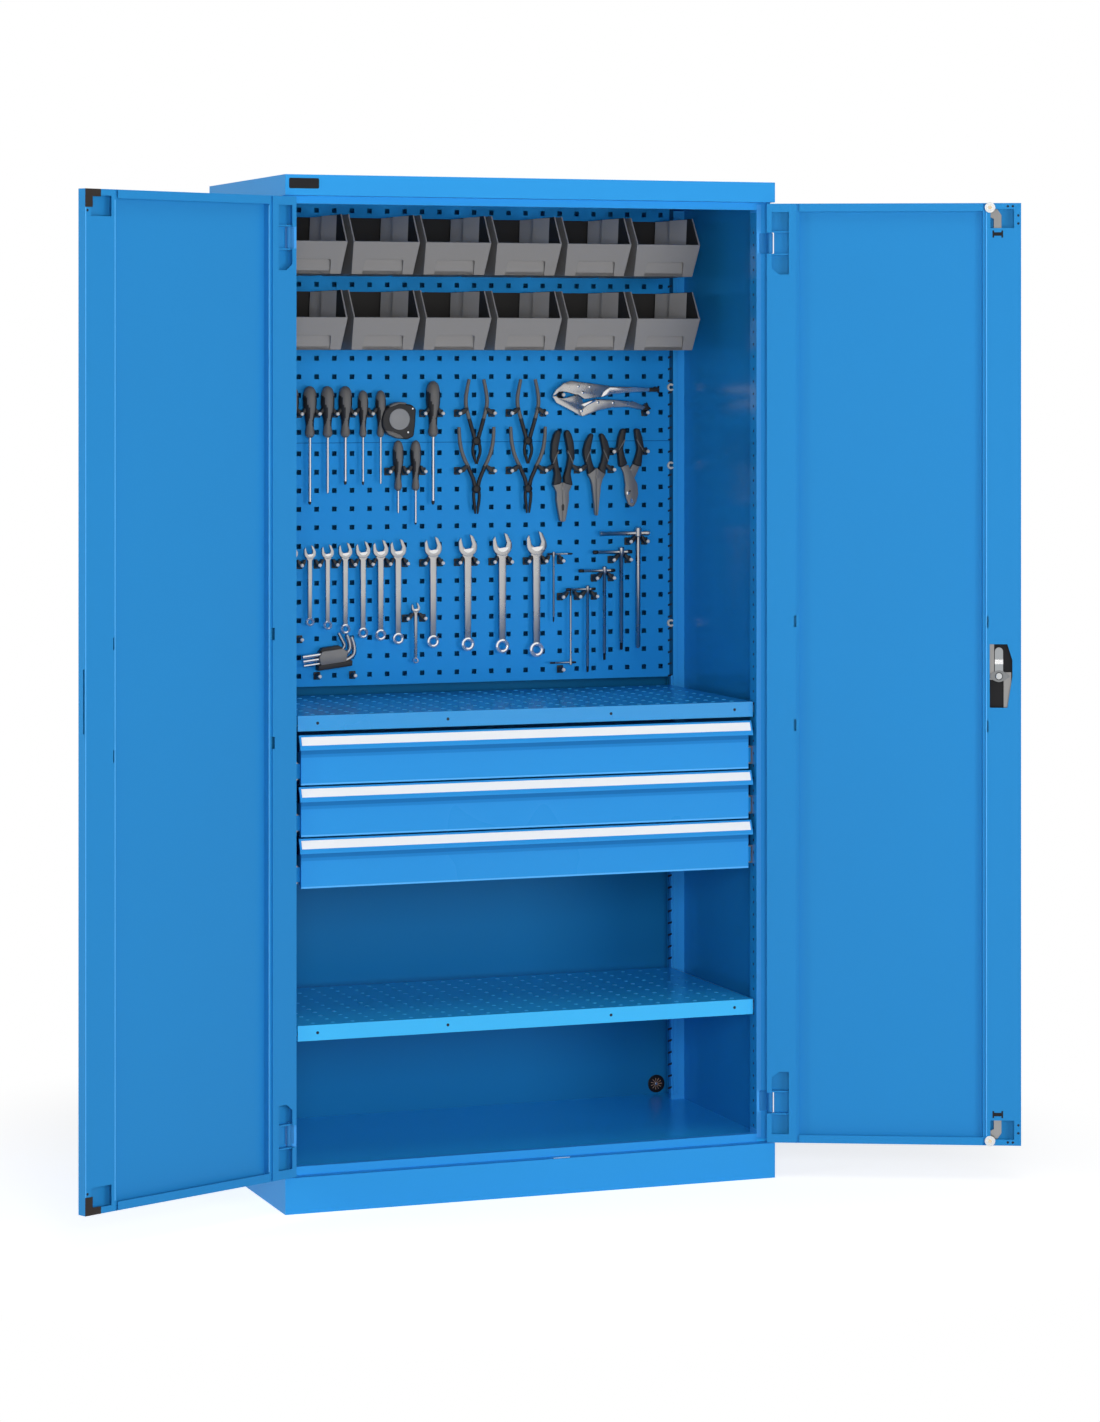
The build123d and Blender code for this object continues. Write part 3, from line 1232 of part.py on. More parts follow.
def spanner(column, row, length, head):
    """Combination spanner hanging by its open end: head with jaws, tapered shank, ring."""
    x = hole_column_x(column + 0.5)
    z = rest_z(row)
    half = head / 2
    top = z + head * HEAD_RISE
    throat = z + half
    shoulder = half * HEAD_SHOULDER
    shank = head * HALF_SHANK
    jaw = head * HALF_JAW
    ring = head * RING_RADIUS
    ring_z = top - length + ring
    plane = Plane.XZ.offset(-TOOL_PLANE_Y - SPANNER_THICKNESS / 2)
    with BuildSketch(plane) as outline:
        with BuildLine():
            Polyline(
                (x - shank, ring_z),
                (x - shank, z),
                (x - shoulder, z),
                (x - half, throat),
                (x - shoulder, top - 2 * head * JAW_SLANT),
                (x - jaw, top - 4 * head * JAW_SLANT),
                (x - jaw, throat),
                (x + jaw, throat - head * JAW_SLANT),
                (x + jaw, top - head * JAW_SLANT),
                (x + shoulder, top),
                (x + half, throat),
                (x + shoulder, z),
                (x + shank, z),
                (x + shank, ring_z),
                close=True,
            )
        make_face()
        with Locations((x, ring_z)):
            RegularPolygon(ring, RING_SIDES)
            RegularPolygon(head * RING_BORE, GRIP_SIDES, mode=Mode.SUBTRACT)
    extrude(outline.sketch, amount=SPANNER_THICKNESS)


with BuildPart() as combination_spanners:
    for item in SPANNERS:
        spanner(*item)
save(combination_spanners.part, "combination_spanners")

with BuildPart() as t_handle_keys:
    for column, row, left_reach, right_reach, shaft, thickness in (*T_KEYS, UPTURNED_KEY):
        x = hole_column_x(column + 0.5)
        z = rest_z(row)
        depth = (TOOL_PLANE_Y - thickness / 2, TOOL_PLANE_Y + thickness / 2)
        block((x - left_reach, x + right_reach), depth, (z, z + thickness))
        shaft_end = z + shaft if row == UPTURNED_KEY[1] else z - shaft
        block((x - thickness / 2, x + thickness / 2), depth, (z, shaft_end))
save(t_handle_keys.part, "t_handle_keys")

with BuildPart() as hex_key_set:
    z = rest_z((LOWER, 0))
    left = hole_column_x(4) - KEY_SET_OVERHANG
    right = hole_column_x(6) + KEY_SET_OVERHANG
    holder = [
        (left, z),
        (right, z),
        (right, z + KEY_SET_HEIGHT - KEY_SET_SLOPE),
        (right - KEY_SET_SLOPE, z + KEY_SET_HEIGHT),
        (left + KEY_SET_OVERHANG, z + KEY_SET_HEIGHT - KEY_SET_SLOPE),
        (left, z + KEY_SET_HEIGHT - KEY_SET_SLOPE),
    ]
    prism(Plane.XZ.offset(-TOOL_PLANE_Y - KEY_SET_DEPTH / 2), holder, KEY_SET_DEPTH)
    for place in range(KEY_SET_LONG_KEYS):
        key_x = right - KEY_SET_SLOPE + (place + 0.5) * KEY_SET_KEY_PITCH
        foot_z = z + KEY_SET_HEIGHT - KEY_SET_SLOPE - place * KEY_SET_KEY_PITCH
        half_key = KEY_SET_KEY_PITCH / 2 - SEAT_GAP
        block(
            (key_x - half_key, key_x + half_key),
            (TOOL_PLANE_Y - half_key, TOOL_PLANE_Y + half_key),
            (foot_z, foot_z + KEY_SET_KEY_RISE),
        )
save(hex_key_set.part, "hex_key_set")


def pliers(x, row, top_rise, bulge, handle, head, tip, tip_drop):
    """Pliers hanging by the bulge of their handles: handles, joint and tapering jaws."""
    z = rest_z(row)
    right = [
        (0, z - PLIERS_CROTCH_DROP),
        (bulge - handle, z + PLIERS_BOW_RISE),
        (bulge - handle - PLIERS_TOP_INSET, z + top_rise),
        (bulge - PLIERS_TOP_INSET, z + top_rise),
        (bulge, z + top_rise / 2),
        (bulge, z),
        (PLIERS_WAIST, z),
        (PLIERS_WAIST, z - PLIERS_CROTCH_DROP),
        (head, z - PLIERS_HEAD_DROP),
        (tip, z - tip_drop),
    ]
    left = [(-across, height) for across, height in reversed(right[1:])]
    outline = [(x + across, height) for across, height in right + left]
    prism(Plane.XZ.offset(-TOOL_PLANE_Y - SPANNER_THICKNESS), outline, 2 * SPANNER_THICKNESS)


with BuildPart() as hand_pliers:
    for row, top_rise, bulge, drop in ((CIRCLIP_ROWS[0], 56, 24, 114), (CIRCLIP_ROWS[1], 80, 34, 94)):
        for column in CIRCLIP_COLUMNS:
            pliers(hole_column_x(column + 1), row, top_rise, bulge, 9, 8, 3, drop)
    pliers(hole_column_x(18), CIRCLIP_ROWS[1], 70, 26, 13, 18, 7, 120)
    pliers(hole_column_x(20), CIRCLIP_ROWS[1], 64, 26, 13, 16, 3, 106)
    pliers(hole_column_x(22), (LOWER, 12), 34, 28, 13, 15, 8, 132)
save(hand_pliers.part, "hand_pliers")

with BuildPart() as locking_pliers:
    peg_x = hole_column_x(18)
    peg_z = hole_row_z(UPPER, 2)
    end_x = peg_x + LOCKING_PLIERS_REACH
    mouth_top = peg_z + LOW_PEG_RISE + SEAT_GAP
    low_peg_top = hole_row_z(UPPER, 1) + LOW_PEG_RISE + SEAT_GAP
    outline = [
        (peg_x - 22, mouth_top),
        (peg_x + 12, mouth_top),
        (peg_x + 12, peg_z - HOOK_DROP - 2),
        (peg_x - 20, peg_z - HOOK_DROP - 2),
        (peg_x - 12, peg_z - 20),
        (peg_x + 42, peg_z - 45),
        (peg_x + 96, low_peg_top),
        (end_x, low_peg_top),
        (end_x, low_peg_top + LOCKING_PLIERS_END),
        (peg_x + 132, peg_z - 11),
        (peg_x + 78, peg_z - 9),
        (peg_x + 54, peg_z - 7),
        (peg_x + 114, peg_z + 1),
        (end_x + LOCKING_PLIERS_SCREW, peg_z + 4),
        (end_x + LOCKING_PLIERS_SCREW, peg_z + 16),
        (peg_x + 106, peg_z + 19),
        (peg_x + 20, peg_z + 29),
    ]
    prism(Plane.XZ.offset(-TOOL_PLANE_Y - SPANNER_THICKNESS), outline, 2 * SPANNER_THICKNESS)
save(locking_pliers.part, "locking_pliers")

with BuildPart() as tape_measure:
    tape_x = hole_column_x(9)
    tape_z = rest_z((UPPER, 0))
    with BuildSketch(Plane.XZ.offset(-BOARD_FACE_Y + 2)):
        with Locations((tape_x, tape_z + TAPE_RADIUS * cos(pi / 8))):
            RegularPolygon(TAPE_RADIUS, 8, rotation=22.5)
    extrude(amount=TAPE_DEPTH)
save(tape_measure.part, "tape_measure")


# ---------------------------------------------------------------- storage bins
def bin_body(x, z, inset):
    """Bin outline in plan and profile, drawn in by the same inset on every side but the top."""
    half_top = BIN_WIDTH / 2 - inset
    half_bottom = BIN_WIDTH / 2 - BIN_NARROWING - inset
    rear = BOARD_FACE_Y - inset
    front = BOARD_FACE_Y - BIN_DEPTH + inset
    floor_z = z + inset
    top = z + BIN_HEIGHT
    with BuildPart() as body:
        across = [
            (x - half_bottom, floor_z),
            (x + half_bottom, floor_z),
            (x + half_top, top),
            (x - half_top, top),
        ]
        prism(Plane.XZ.offset(-rear), across, rear - front)
        profile = [
            (rear, floor_z),
            (rear, top),
            (rear - BIN_FLAT_TOP, top),
            (front, z + BIN_FRONT_HEIGHT),
            (front + BIN_FRONT_LEAN, floor_z),
        ]
        prism(Plane.YZ.offset(x - half_top), profile, 2 * half_top, mode=Mode.INTERSECT)
    return body.part


with BuildPart() as storage_bins:
    for bin_z in BIN_ROW_BOTTOMS:
        for place in range(BIN_COUNT):
            bin_x = (place - (BIN_COUNT - 1) / 2) * BIN_PITCH
            outer = bin_body(bin_x, bin_z, 0)
            inner = bin_body(bin_x, bin_z, BIN_WALL)
            add(outer)
            add(inner, mode=Mode.SUBTRACT)
save(storage_bins.part, "storage_bins")
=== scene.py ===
"""Dresses the tool cabinet: powder-coated sheet, hung tools, bins, rod lock and studio."""
import logging
from dataclasses import dataclass
from enum import Enum
from math import cos, pi, radians, sin
from typing import Callable

import bpy
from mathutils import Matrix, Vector


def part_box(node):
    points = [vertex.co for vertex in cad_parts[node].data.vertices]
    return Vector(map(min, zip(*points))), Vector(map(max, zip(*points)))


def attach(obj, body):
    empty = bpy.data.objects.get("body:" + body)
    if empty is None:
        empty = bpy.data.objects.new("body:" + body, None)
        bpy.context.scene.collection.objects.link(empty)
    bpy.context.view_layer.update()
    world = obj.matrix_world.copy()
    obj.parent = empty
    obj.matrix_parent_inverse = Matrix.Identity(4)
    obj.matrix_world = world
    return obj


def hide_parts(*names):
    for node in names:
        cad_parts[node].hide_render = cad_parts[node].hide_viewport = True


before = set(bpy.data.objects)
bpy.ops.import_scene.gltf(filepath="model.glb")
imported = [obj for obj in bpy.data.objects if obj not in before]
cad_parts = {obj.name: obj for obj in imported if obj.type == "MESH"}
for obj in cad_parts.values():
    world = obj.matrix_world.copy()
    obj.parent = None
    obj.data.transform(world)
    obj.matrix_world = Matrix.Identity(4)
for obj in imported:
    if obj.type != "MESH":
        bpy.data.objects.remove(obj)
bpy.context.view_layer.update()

MM = 0.001
BRUSH_STRETCH = 0.06  # brushed streaks run along Z
COAT_ROUGHNESS = 0.12
WHITE = (1.0, 1.0, 1.0, 1.0)
ORIGIN = (0.0, 0.0)
HOME = (0.0, 0.0, 0.0)
FORWARD = (90.0, 0.0, 0.0)  # turns a standing shape towards the viewer
INWARD = (-90.0, 0.0, 0.0)
BAR_ENDS = 0.2  # share of a bar's points that belong to each end
BENCH_LOG = logging.getLogger("cabinet")

Colour = tuple[float, float, float]
Spot = tuple[float, float, float]
Flat = tuple[float, float]
Piece = bpy.types.Object


class Body(Enum):
    """Moving bodies of the cabinet that pieces ride on."""

    CABINET = "cabinet"
    LEFT_DOOR = "left_door"
    RIGHT_DOOR = "right_door"
    HANDLE = "handle"
    UPPER_ROD = "upper_rod"
    LOWER_ROD = "lower_rod"
    UPPER_ROLLER = "upper_roller"
    LOWER_ROLLER = "lower_roller"
    DRAWER_1 = "drawer_1"
    DRAWER_2 = "drawer_2"
    DRAWER_3 = "drawer_3"


class Texture(Enum):
    """Surface textures that the finishes share."""

    ORANGE_PEEL = "orange_peel"
    BRUSHED = "brushed"
    MOULDED = "moulded"


def feed(tree: bpy.types.NodeTree, node: bpy.types.Node, inputs: dict) -> None:
    """Gives each named input of a node its value, or a link from the socket that feeds it."""
    for name, given in inputs.items():
        if isinstance(given, bpy.types.NodeSocket):
            tree.links.new(given, node.inputs[name])
        else:
            node.inputs[name].default_value = given


def add_node(
    tree: bpy.types.NodeTree, kind: str, inputs: dict | None = None, **settings: object
) -> bpy.types.Node:
    """Adds a shader node.

    Args:
        tree: node tree of a material, a group or the world.
        kind: the node's type, without its common start.
        inputs: values or feeding sockets by input name.
        settings: the node's own settings, set before its inputs.

    Returns:
        The new node.
    """
    node = tree.nodes.new(f"ShaderNode{kind}")
    for name, given in settings.items():
        setattr(node, name, given)
    feed(tree, node, inputs or {})
    return node


# ---------------------------------------------------------------- shared surface effects
class SurfaceEffects:
    """Shader node groups for the small textures, each built once."""

    made: dict[Texture, bpy.types.NodeTree] = {}

    @classmethod
    def group(cls, texture: Texture) -> bpy.types.NodeTree:
        """The node group of a texture, built on first use.

        Args:
            texture: which small texture is wanted.

        Returns:
            The shader node group with Vector, Scale and Patchiness inputs.
        """
        if texture not in cls.made:
            cls.made[texture] = cls._build(texture)
        return cls.made[texture]

    @staticmethod
    def _build(texture: Texture) -> bpy.types.NodeTree:
        """Builds one texture group that puts out a tone mask, a roughness mask and a height.

        Args:
            texture: which small texture is built.

        Returns:
            The new shader node group.
        """
        tree = bpy.data.node_groups.new(texture.value, "ShaderNodeTree")
        for name, way, kind in (
            ("Vector", "INPUT", "Vector"), ("Scale", "INPUT", "Float"), ("Patch Scale", "INPUT", "Float"),
            ("Tone", "OUTPUT", "Float"), ("Gloss", "OUTPUT", "Float"), ("Height", "OUTPUT", "Float"),
        ):
            tree.interface.new_socket(name, in_out=way, socket_type=f"NodeSocket{kind}")
        inlet, outlet = (tree.nodes.new(f"NodeGroup{way}") for way in ("Input", "Output"))
        vector, scale, patches = (inlet.outputs[name] for name in ("Vector", "Scale", "Patch Scale"))
        length = BRUSH_STRETCH if texture is Texture.BRUSHED else 1.0
        along = {"Vector": vector, "Scale": (1.0, 1.0, length)}
        stretched = add_node(tree, "Mapping", along).outputs["Vector"]
        fine = add_node(tree, "TexNoise", {
            "Vector": stretched, "Scale": scale, "Detail": 2.0, "Roughness": 0.5,
        })
        broad = add_node(tree, "TexNoise", {
            "Vector": vector, "Scale": patches, "Detail": 3.0, "Roughness": 0.55,
        })
        share = 0.35 if texture is Texture.ORANGE_PEEL else 0.6
        tones = {"Factor": share, "A": broad.outputs["Fac"], "B": fine.outputs["Fac"]}
        blend = add_node(tree, "Mix", tones, data_type="FLOAT")
        height = fine.outputs["Fac"]
        if texture is Texture.MOULDED:
            height = add_node(tree, "TexVoronoi", {"Vector": stretched, "Scale": scale}).outputs["Distance"]
        feed(tree, outlet, {"Tone": blend.outputs["Result"], "Gloss": broad.outputs["Fac"], "Height": height})
        return tree


@dataclass(frozen=True)
class Finish:
    """A surface finish: two tones of one colour, its gloss range and its small texture."""

    name: str
    slot: str
    tone: Colour
    shade: Colour
    gloss: Flat
    texture: Texture
    scale: float = 400.0
    patch: float = 3.0
    relief: float = 0.05
    metallic: float = 0.0
    coat: float = 0.0
    specular: float = 0.5

    def material(self) -> bpy.types.Material:
        """The finish as a node material, built on first use.

        Returns:
            The material with this finish's name.
        """
        found = bpy.data.materials.get(self.name)
        if found:
            return found
        made = bpy.data.materials.new(self.name)
        made.use_nodes = True
        tree = made.node_tree
        place = add_node(tree, "TexCoord").outputs["Object"]
        effect = add_node(tree, "Group", node_tree=SurfaceEffects.group(self.texture))
        feed(tree, effect, {"Vector": place, "Scale": self.scale, "Patch Scale": self.patch})
        tones = {"A": (*self.shade, 1.0), "B": (*self.tone, 1.0), "Factor": effect.outputs["Tone"]}
        colour = add_node(tree, "Mix", tones, data_type="RGBA")
        gloss = add_node(tree, "MapRange", {
            "Value": effect.outputs["Gloss"], "From Min": 0.3, "From Max": 0.7,
            "To Min": self.gloss[0], "To Max": self.gloss[1],
        })
        bump = add_node(tree, "Bump", {
            "Strength": self.relief, "Distance": MM, "Height": effect.outputs["Height"],
        })
        feed(tree, tree.nodes["Principled BSDF"], {
            "Base Color": colour.outputs["Result"], "Roughness": gloss.outputs["Result"],
            "Normal": bump.outputs["Normal"], "Metallic": self.metallic, "Specular IOR Level": self.specular,
            "Coat Weight": self.coat, "Coat Roughness": COAT_ROUGHNESS,
        })
        return made


def painted(
    name: str, slot: str, tone: Colour, shade: Colour, gloss: Flat, relief: float, specular: float = 0.5
) -> Finish:
    """Powder coat with a fine orange peel."""
    return Finish(name, slot, tone, shade, gloss, Texture.ORANGE_PEEL, 520.0, 2.0, relief, specular=specular)


def brushed(
    name: str, slot: str, tone: Colour, shade: Colour, gloss: Flat, relief: float, metallic: float
) -> Finish:
    """Metal with fine streaks along its length."""
    return Finish(name, slot, tone, shade, gloss, Texture.BRUSHED, 900.0, 30.0, relief, metallic)


def moulded(
    name: str, slot: str, tone: Colour, shade: Colour, gloss: Flat, scale: float, patch: float, relief: float,
    coat: float = 0.0, specular: float = 0.5,
) -> Finish:
    """Moulded plastic with a fine grain."""
    return Finish(name, slot, tone, shade, gloss, Texture.MOULDED, scale, patch, relief, 0.0, coat, specular)


CARCASS_BLUE = painted(
    "powder_coat_carcass", "carcass_paint", (0.037, 0.345, 0.800), (0.032, 0.320, 0.760), (0.30, 0.40), 0.10,
    0.04
)
# painted shade: the doors' powder coat is the cabinet's blue made darker, for the shade of the turned doors
DOOR_SHADED_BLUE = painted(
    "powder_coat_doors_painted_shade", "door_paint", (0.024, 0.262, 0.620), (0.020, 0.240, 0.575), (0.28, 0.36), 0.10, 0.15
)
PANEL_BLUE = painted(
    "powder_coat_panels", "panel_paint", (0.018, 0.275, 0.690), (0.014, 0.252, 0.640), (0.32, 0.40), 0.10,
    0.15
)
SHELF_BLUE = painted(
    "powder_coat_shelves", "shelf_paint", (0.018, 0.300, 0.700), (0.014, 0.275, 0.650), (0.20, 0.28), 0.10
)
DRAWER_BLUE = painted(
    "powder_coat_drawers", "drawer_paint", (0.028, 0.310, 0.760), (0.024, 0.288, 0.715), (0.26, 0.34), 0.10,
    0.15
)
# painted shade: the back wall's powder coat is the cabinet's blue made darker, for the shade deep inside
BACK_SHADED_BLUE = painted(
    "powder_coat_back_painted_shade", "panel_paint", (0.009, 0.165, 0.400), (0.007, 0.150, 0.370), (0.32, 0.40), 0.10, 0.15
)
# painted light: the floor panel and lower shelf wear the cabinet's blue made lighter, as if lit
FLOOR_LIT_BLUE = painted(
    "powder_coat_floor_painted_light", "shelf_paint", (0.032, 0.500, 0.960), (0.027, 0.465, 0.920), (0.18, 0.24), 0.10
)
# painted shade: the side walls' powder coat is the cabinet's blue made darker, for the shade inside; their
# outsides share it
WALL_SHADED_BLUE = painted(
    "powder_coat_side_walls_painted_shade", "carcass_paint", (0.016, 0.282, 0.650), (0.014, 0.262, 0.610), (0.16, 0.22),
    0.06
)
TRAY_BLUE = painted(
    "powder_coat_trays", "tray_paint", (0.012, 0.250, 0.620), (0.009, 0.230, 0.570), (0.30, 0.40), 0.10, 0.15
)
ZINC = Finish(
    "bright_zinc", "zinc_steel", (0.400, 0.395, 0.390), (0.300, 0.297, 0.293),
    (0.28, 0.42), Texture.BRUSHED, 700.0, 14.0, 0.06, 1.0
)
HINGE_STEEL = Finish(
    "hinge_dark_paint", "hinge_steel", (0.022, 0.215, 0.530), (0.018, 0.195, 0.490),
    (0.38, 0.52), Texture.ORANGE_PEEL, 700.0, 20.0, 0.10
)
CLIP_GREY = moulded(
    "clip_grey_plastic", "grey_plastic", (0.66, 0.64, 0.58), (0.52, 0.50, 0.45), (0.42, 0.55), 1500.0, 30.0,
    0.05
)
BLACK_PLASTIC = moulded(
    "black_textured_plastic", "black_plastic", (0.016, 0.016, 0.018), (0.007, 0.007, 0.008),
    (0.38, 0.52), 1600.0, 25.0, 0.10, specular=0.2
)
WHITE_PLASTIC = moulded(
    "white_roller_plastic", "white_plastic", (0.84, 0.84, 0.82), (0.74, 0.74, 0.72), (0.34, 0.46), 1600.0,
    30.0, 0.04
)
LABEL_WHITE = moulded(
    "label_strip", "label_white", (0.90, 0.92, 0.94), (0.84, 0.87, 0.90), (0.16, 0.24), 900.0, 4.0, 0.01,
    coat=0.4
)
HOOK_BLACK = moulded(
    "hook_black_plastic", "hook_black", (0.020, 0.020, 0.022), (0.008, 0.008, 0.009), (0.34, 0.48), 1600.0,
    30.0, 0.08
)
HOOK_TIP = moulded(
    "hook_tip_grey", "grey_plastic", (0.74, 0.73, 0.70), (0.60, 0.59, 0.57), (0.30, 0.42), 1600.0, 30.0, 0.03
)
BIN_GREY = moulded(
    "bin_moulded_grey", "bin_grey", (0.250, 0.243, 0.241), (0.220, 0.214, 0.211), (0.36, 0.50), 1300.0, 8.0,
    0.08
)
GRIP_BLACK = moulded(
    "grip_soft_black", "grip_black", (0.024, 0.024, 0.026), (0.011, 0.011, 0.012), (0.42, 0.58), 1900.0, 40.0,
    0.12
)
GRIP_GREY = moulded(
    "grip_grey_inlay", "grip_black", (0.150, 0.147, 0.145), (0.100, 0.098, 0.096), (0.34, 0.48), 1900.0, 40.0,
    0.06
)
TOOL_STEEL = brushed(
    "tool_satin_chrome", "tool_steel", (0.62, 0.61, 0.60), (0.46, 0.455, 0.45), (0.24, 0.36), 0.05, 1.0
)
TOOL_EDGE = brushed(
    "tool_polished_edges", "tool_steel", (0.86, 0.86, 0.86), (0.74, 0.74, 0.74), (0.12, 0.22), 0.03, 1.0
)
TOOL_DARK = brushed(
    "tool_blackened_tips", "tool_steel", (0.060, 0.060, 0.062), (0.030, 0.030, 0.032), (0.32, 0.45), 0.05, 0.7
)
TOOL_BLACK = brushed(
    "tool_black_oxide", "tool_steel", (0.020, 0.020, 0.021), (0.010, 0.010, 0.011), (0.30, 0.44), 0.05, 0.3
)
# painted highlight: near-white metal for the spanners' rings, the cam tongue's bend and the grommet's light
# middle
TOOL_HIGHLIGHT = brushed(
    "tool_painted_highlight", "tool_steel", (0.95, 0.95, 0.95), (0.88, 0.88, 0.88), (0.10, 0.18), 0.02, 0.85
)
PLIERS_GREY = brushed(
    "pliers_grey_phosphate", "tool_steel", (0.235, 0.230, 0.225), (0.180, 0.177, 0.173), (0.34, 0.46), 0.05,
    0.35
)
# painted shade: the bins' own grey made dark for the inner rear, side and bottom faces, where shade falls
BIN_INSIDE_SHADE = moulded(
    "bin_inside_painted_shade", "bin_grey", (0.045, 0.043, 0.042), (0.030, 0.029, 0.028),
    (0.45, 0.60), 1300.0, 8.0, 0.08, specular=0.2
)
# painted light: the ribs are the bins' own grey made much lighter, as if lit
BIN_RIB_LIT = moulded(
    "bin_rib_painted_light", "bin_grey", (0.560, 0.550, 0.550), (0.500, 0.490, 0.490),
    (0.36, 0.50), 1300.0, 8.0, 0.08, specular=0.3
)
DISC_GREY = moulded(
    "tape_disc_silver_grey", "black_plastic", (0.240, 0.245, 0.255), (0.200, 0.205, 0.215),
    (0.16, 0.26), 1900.0, 20.0, 0.02, 0.4
)
# painted shade: dark plates and discs laid over slots and holes, where they show only shade
SHADOW_BLACK = moulded(
    "hole_painted_shade", "black_plastic", (0.006, 0.018, 0.040), (0.003, 0.010, 0.024), (0.60, 0.75), 900.0, 20.0,
    0.02
)
# painted light: light plates on the membrane for the light seen through the grommet's slits
SLIT_PAINTED_LIGHT = moulded(
    "slit_painted_light", "black_plastic", (0.420, 0.270, 0.180), (0.300, 0.200, 0.140), (0.50, 0.60), 900.0, 20.0,
    0.02
)
CAM_GREY = brushed(
    "cam_dull_zinc", "zinc_steel", (0.310, 0.320, 0.330), (0.230, 0.238, 0.245), (0.32, 0.44), 0.05, 1.0
)
CAM_LIGHT = brushed(
    "cam_tongue_zinc", "zinc_steel", (0.450, 0.475, 0.490), (0.360, 0.380, 0.395), (0.28, 0.40), 0.05, 1.0
)
CAM_HEAD = brushed(
    "cam_screw_head", "zinc_steel", (0.720, 0.740, 0.750), (0.560, 0.575, 0.585), (0.18, 0.28), 0.04, 1.0
)
CAM_DARK = brushed(
    "cam_screw_ring", "zinc_steel", (0.115, 0.122, 0.126), (0.080, 0.085, 0.088), (0.35, 0.48), 0.05, 1.0
)
AXLE_BRASS = brushed(
    "axle_brass", "zinc_steel", (0.900, 0.760, 0.560), (0.760, 0.600, 0.400), (0.20, 0.32), 0.04, 1.0
)
GUARD_BROWN = moulded(
    "guard_dark_plastic", "black_plastic", (0.034, 0.026, 0.022), (0.016, 0.012, 0.011),
    (0.45, 0.60), 1200.0, 40.0, 0.14, specular=0.25
)
SEAM_BLUE = painted(
    "panel_seam_shade", "panel_paint", (0.010, 0.130, 0.370), (0.008, 0.120, 0.340), (0.50, 0.60), 0.05, 0.1
)
GAP_BLUE = painted(
    "panel_gap_shade", "panel_paint", (0.005, 0.075, 0.190), (0.004, 0.062, 0.160), (0.50, 0.60), 0.05, 0.1
)
# painted highlight: the blue paint made lighter for thin strips along bends of the drawers and doors
BEND_HIGHLIGHT_BLUE = painted(
    "painted_bend_highlight", "door_paint", (0.110, 0.480, 0.960), (0.095, 0.450, 0.920), (0.26, 0.34), 0.05, 0.15
)
# painted highlight: the carcass blue made lighter for strips on the frame's edges round the opening
EDGE_HIGHLIGHT_BLUE = painted(
    "painted_edge_highlight", "carcass_paint", (0.070, 0.390, 0.860), (0.060, 0.360, 0.820), (0.26, 0.34), 0.05, 0.15
)
SHADE_BLUE = painted(
    "grip_shade", "drawer_paint", (0.016, 0.190, 0.500), (0.014, 0.175, 0.470), (0.40, 0.50), 0.05, 0.1
)
HALF_SHADE_BLUE = painted(
    "grip_half_shade", "drawer_paint", (0.022, 0.250, 0.640), (0.019, 0.232, 0.600), (0.34, 0.44), 0.05, 0.1
)
# painted highlight: the shelves' blue made lighter for the pressed bosses
BOSS_HIGHLIGHT_BLUE = painted(
    "shelf_boss_painted_highlight", "shelf_paint", (0.060, 0.520, 0.950), (0.052, 0.490, 0.920), (0.24, 0.32), 0.05, 0.25
)


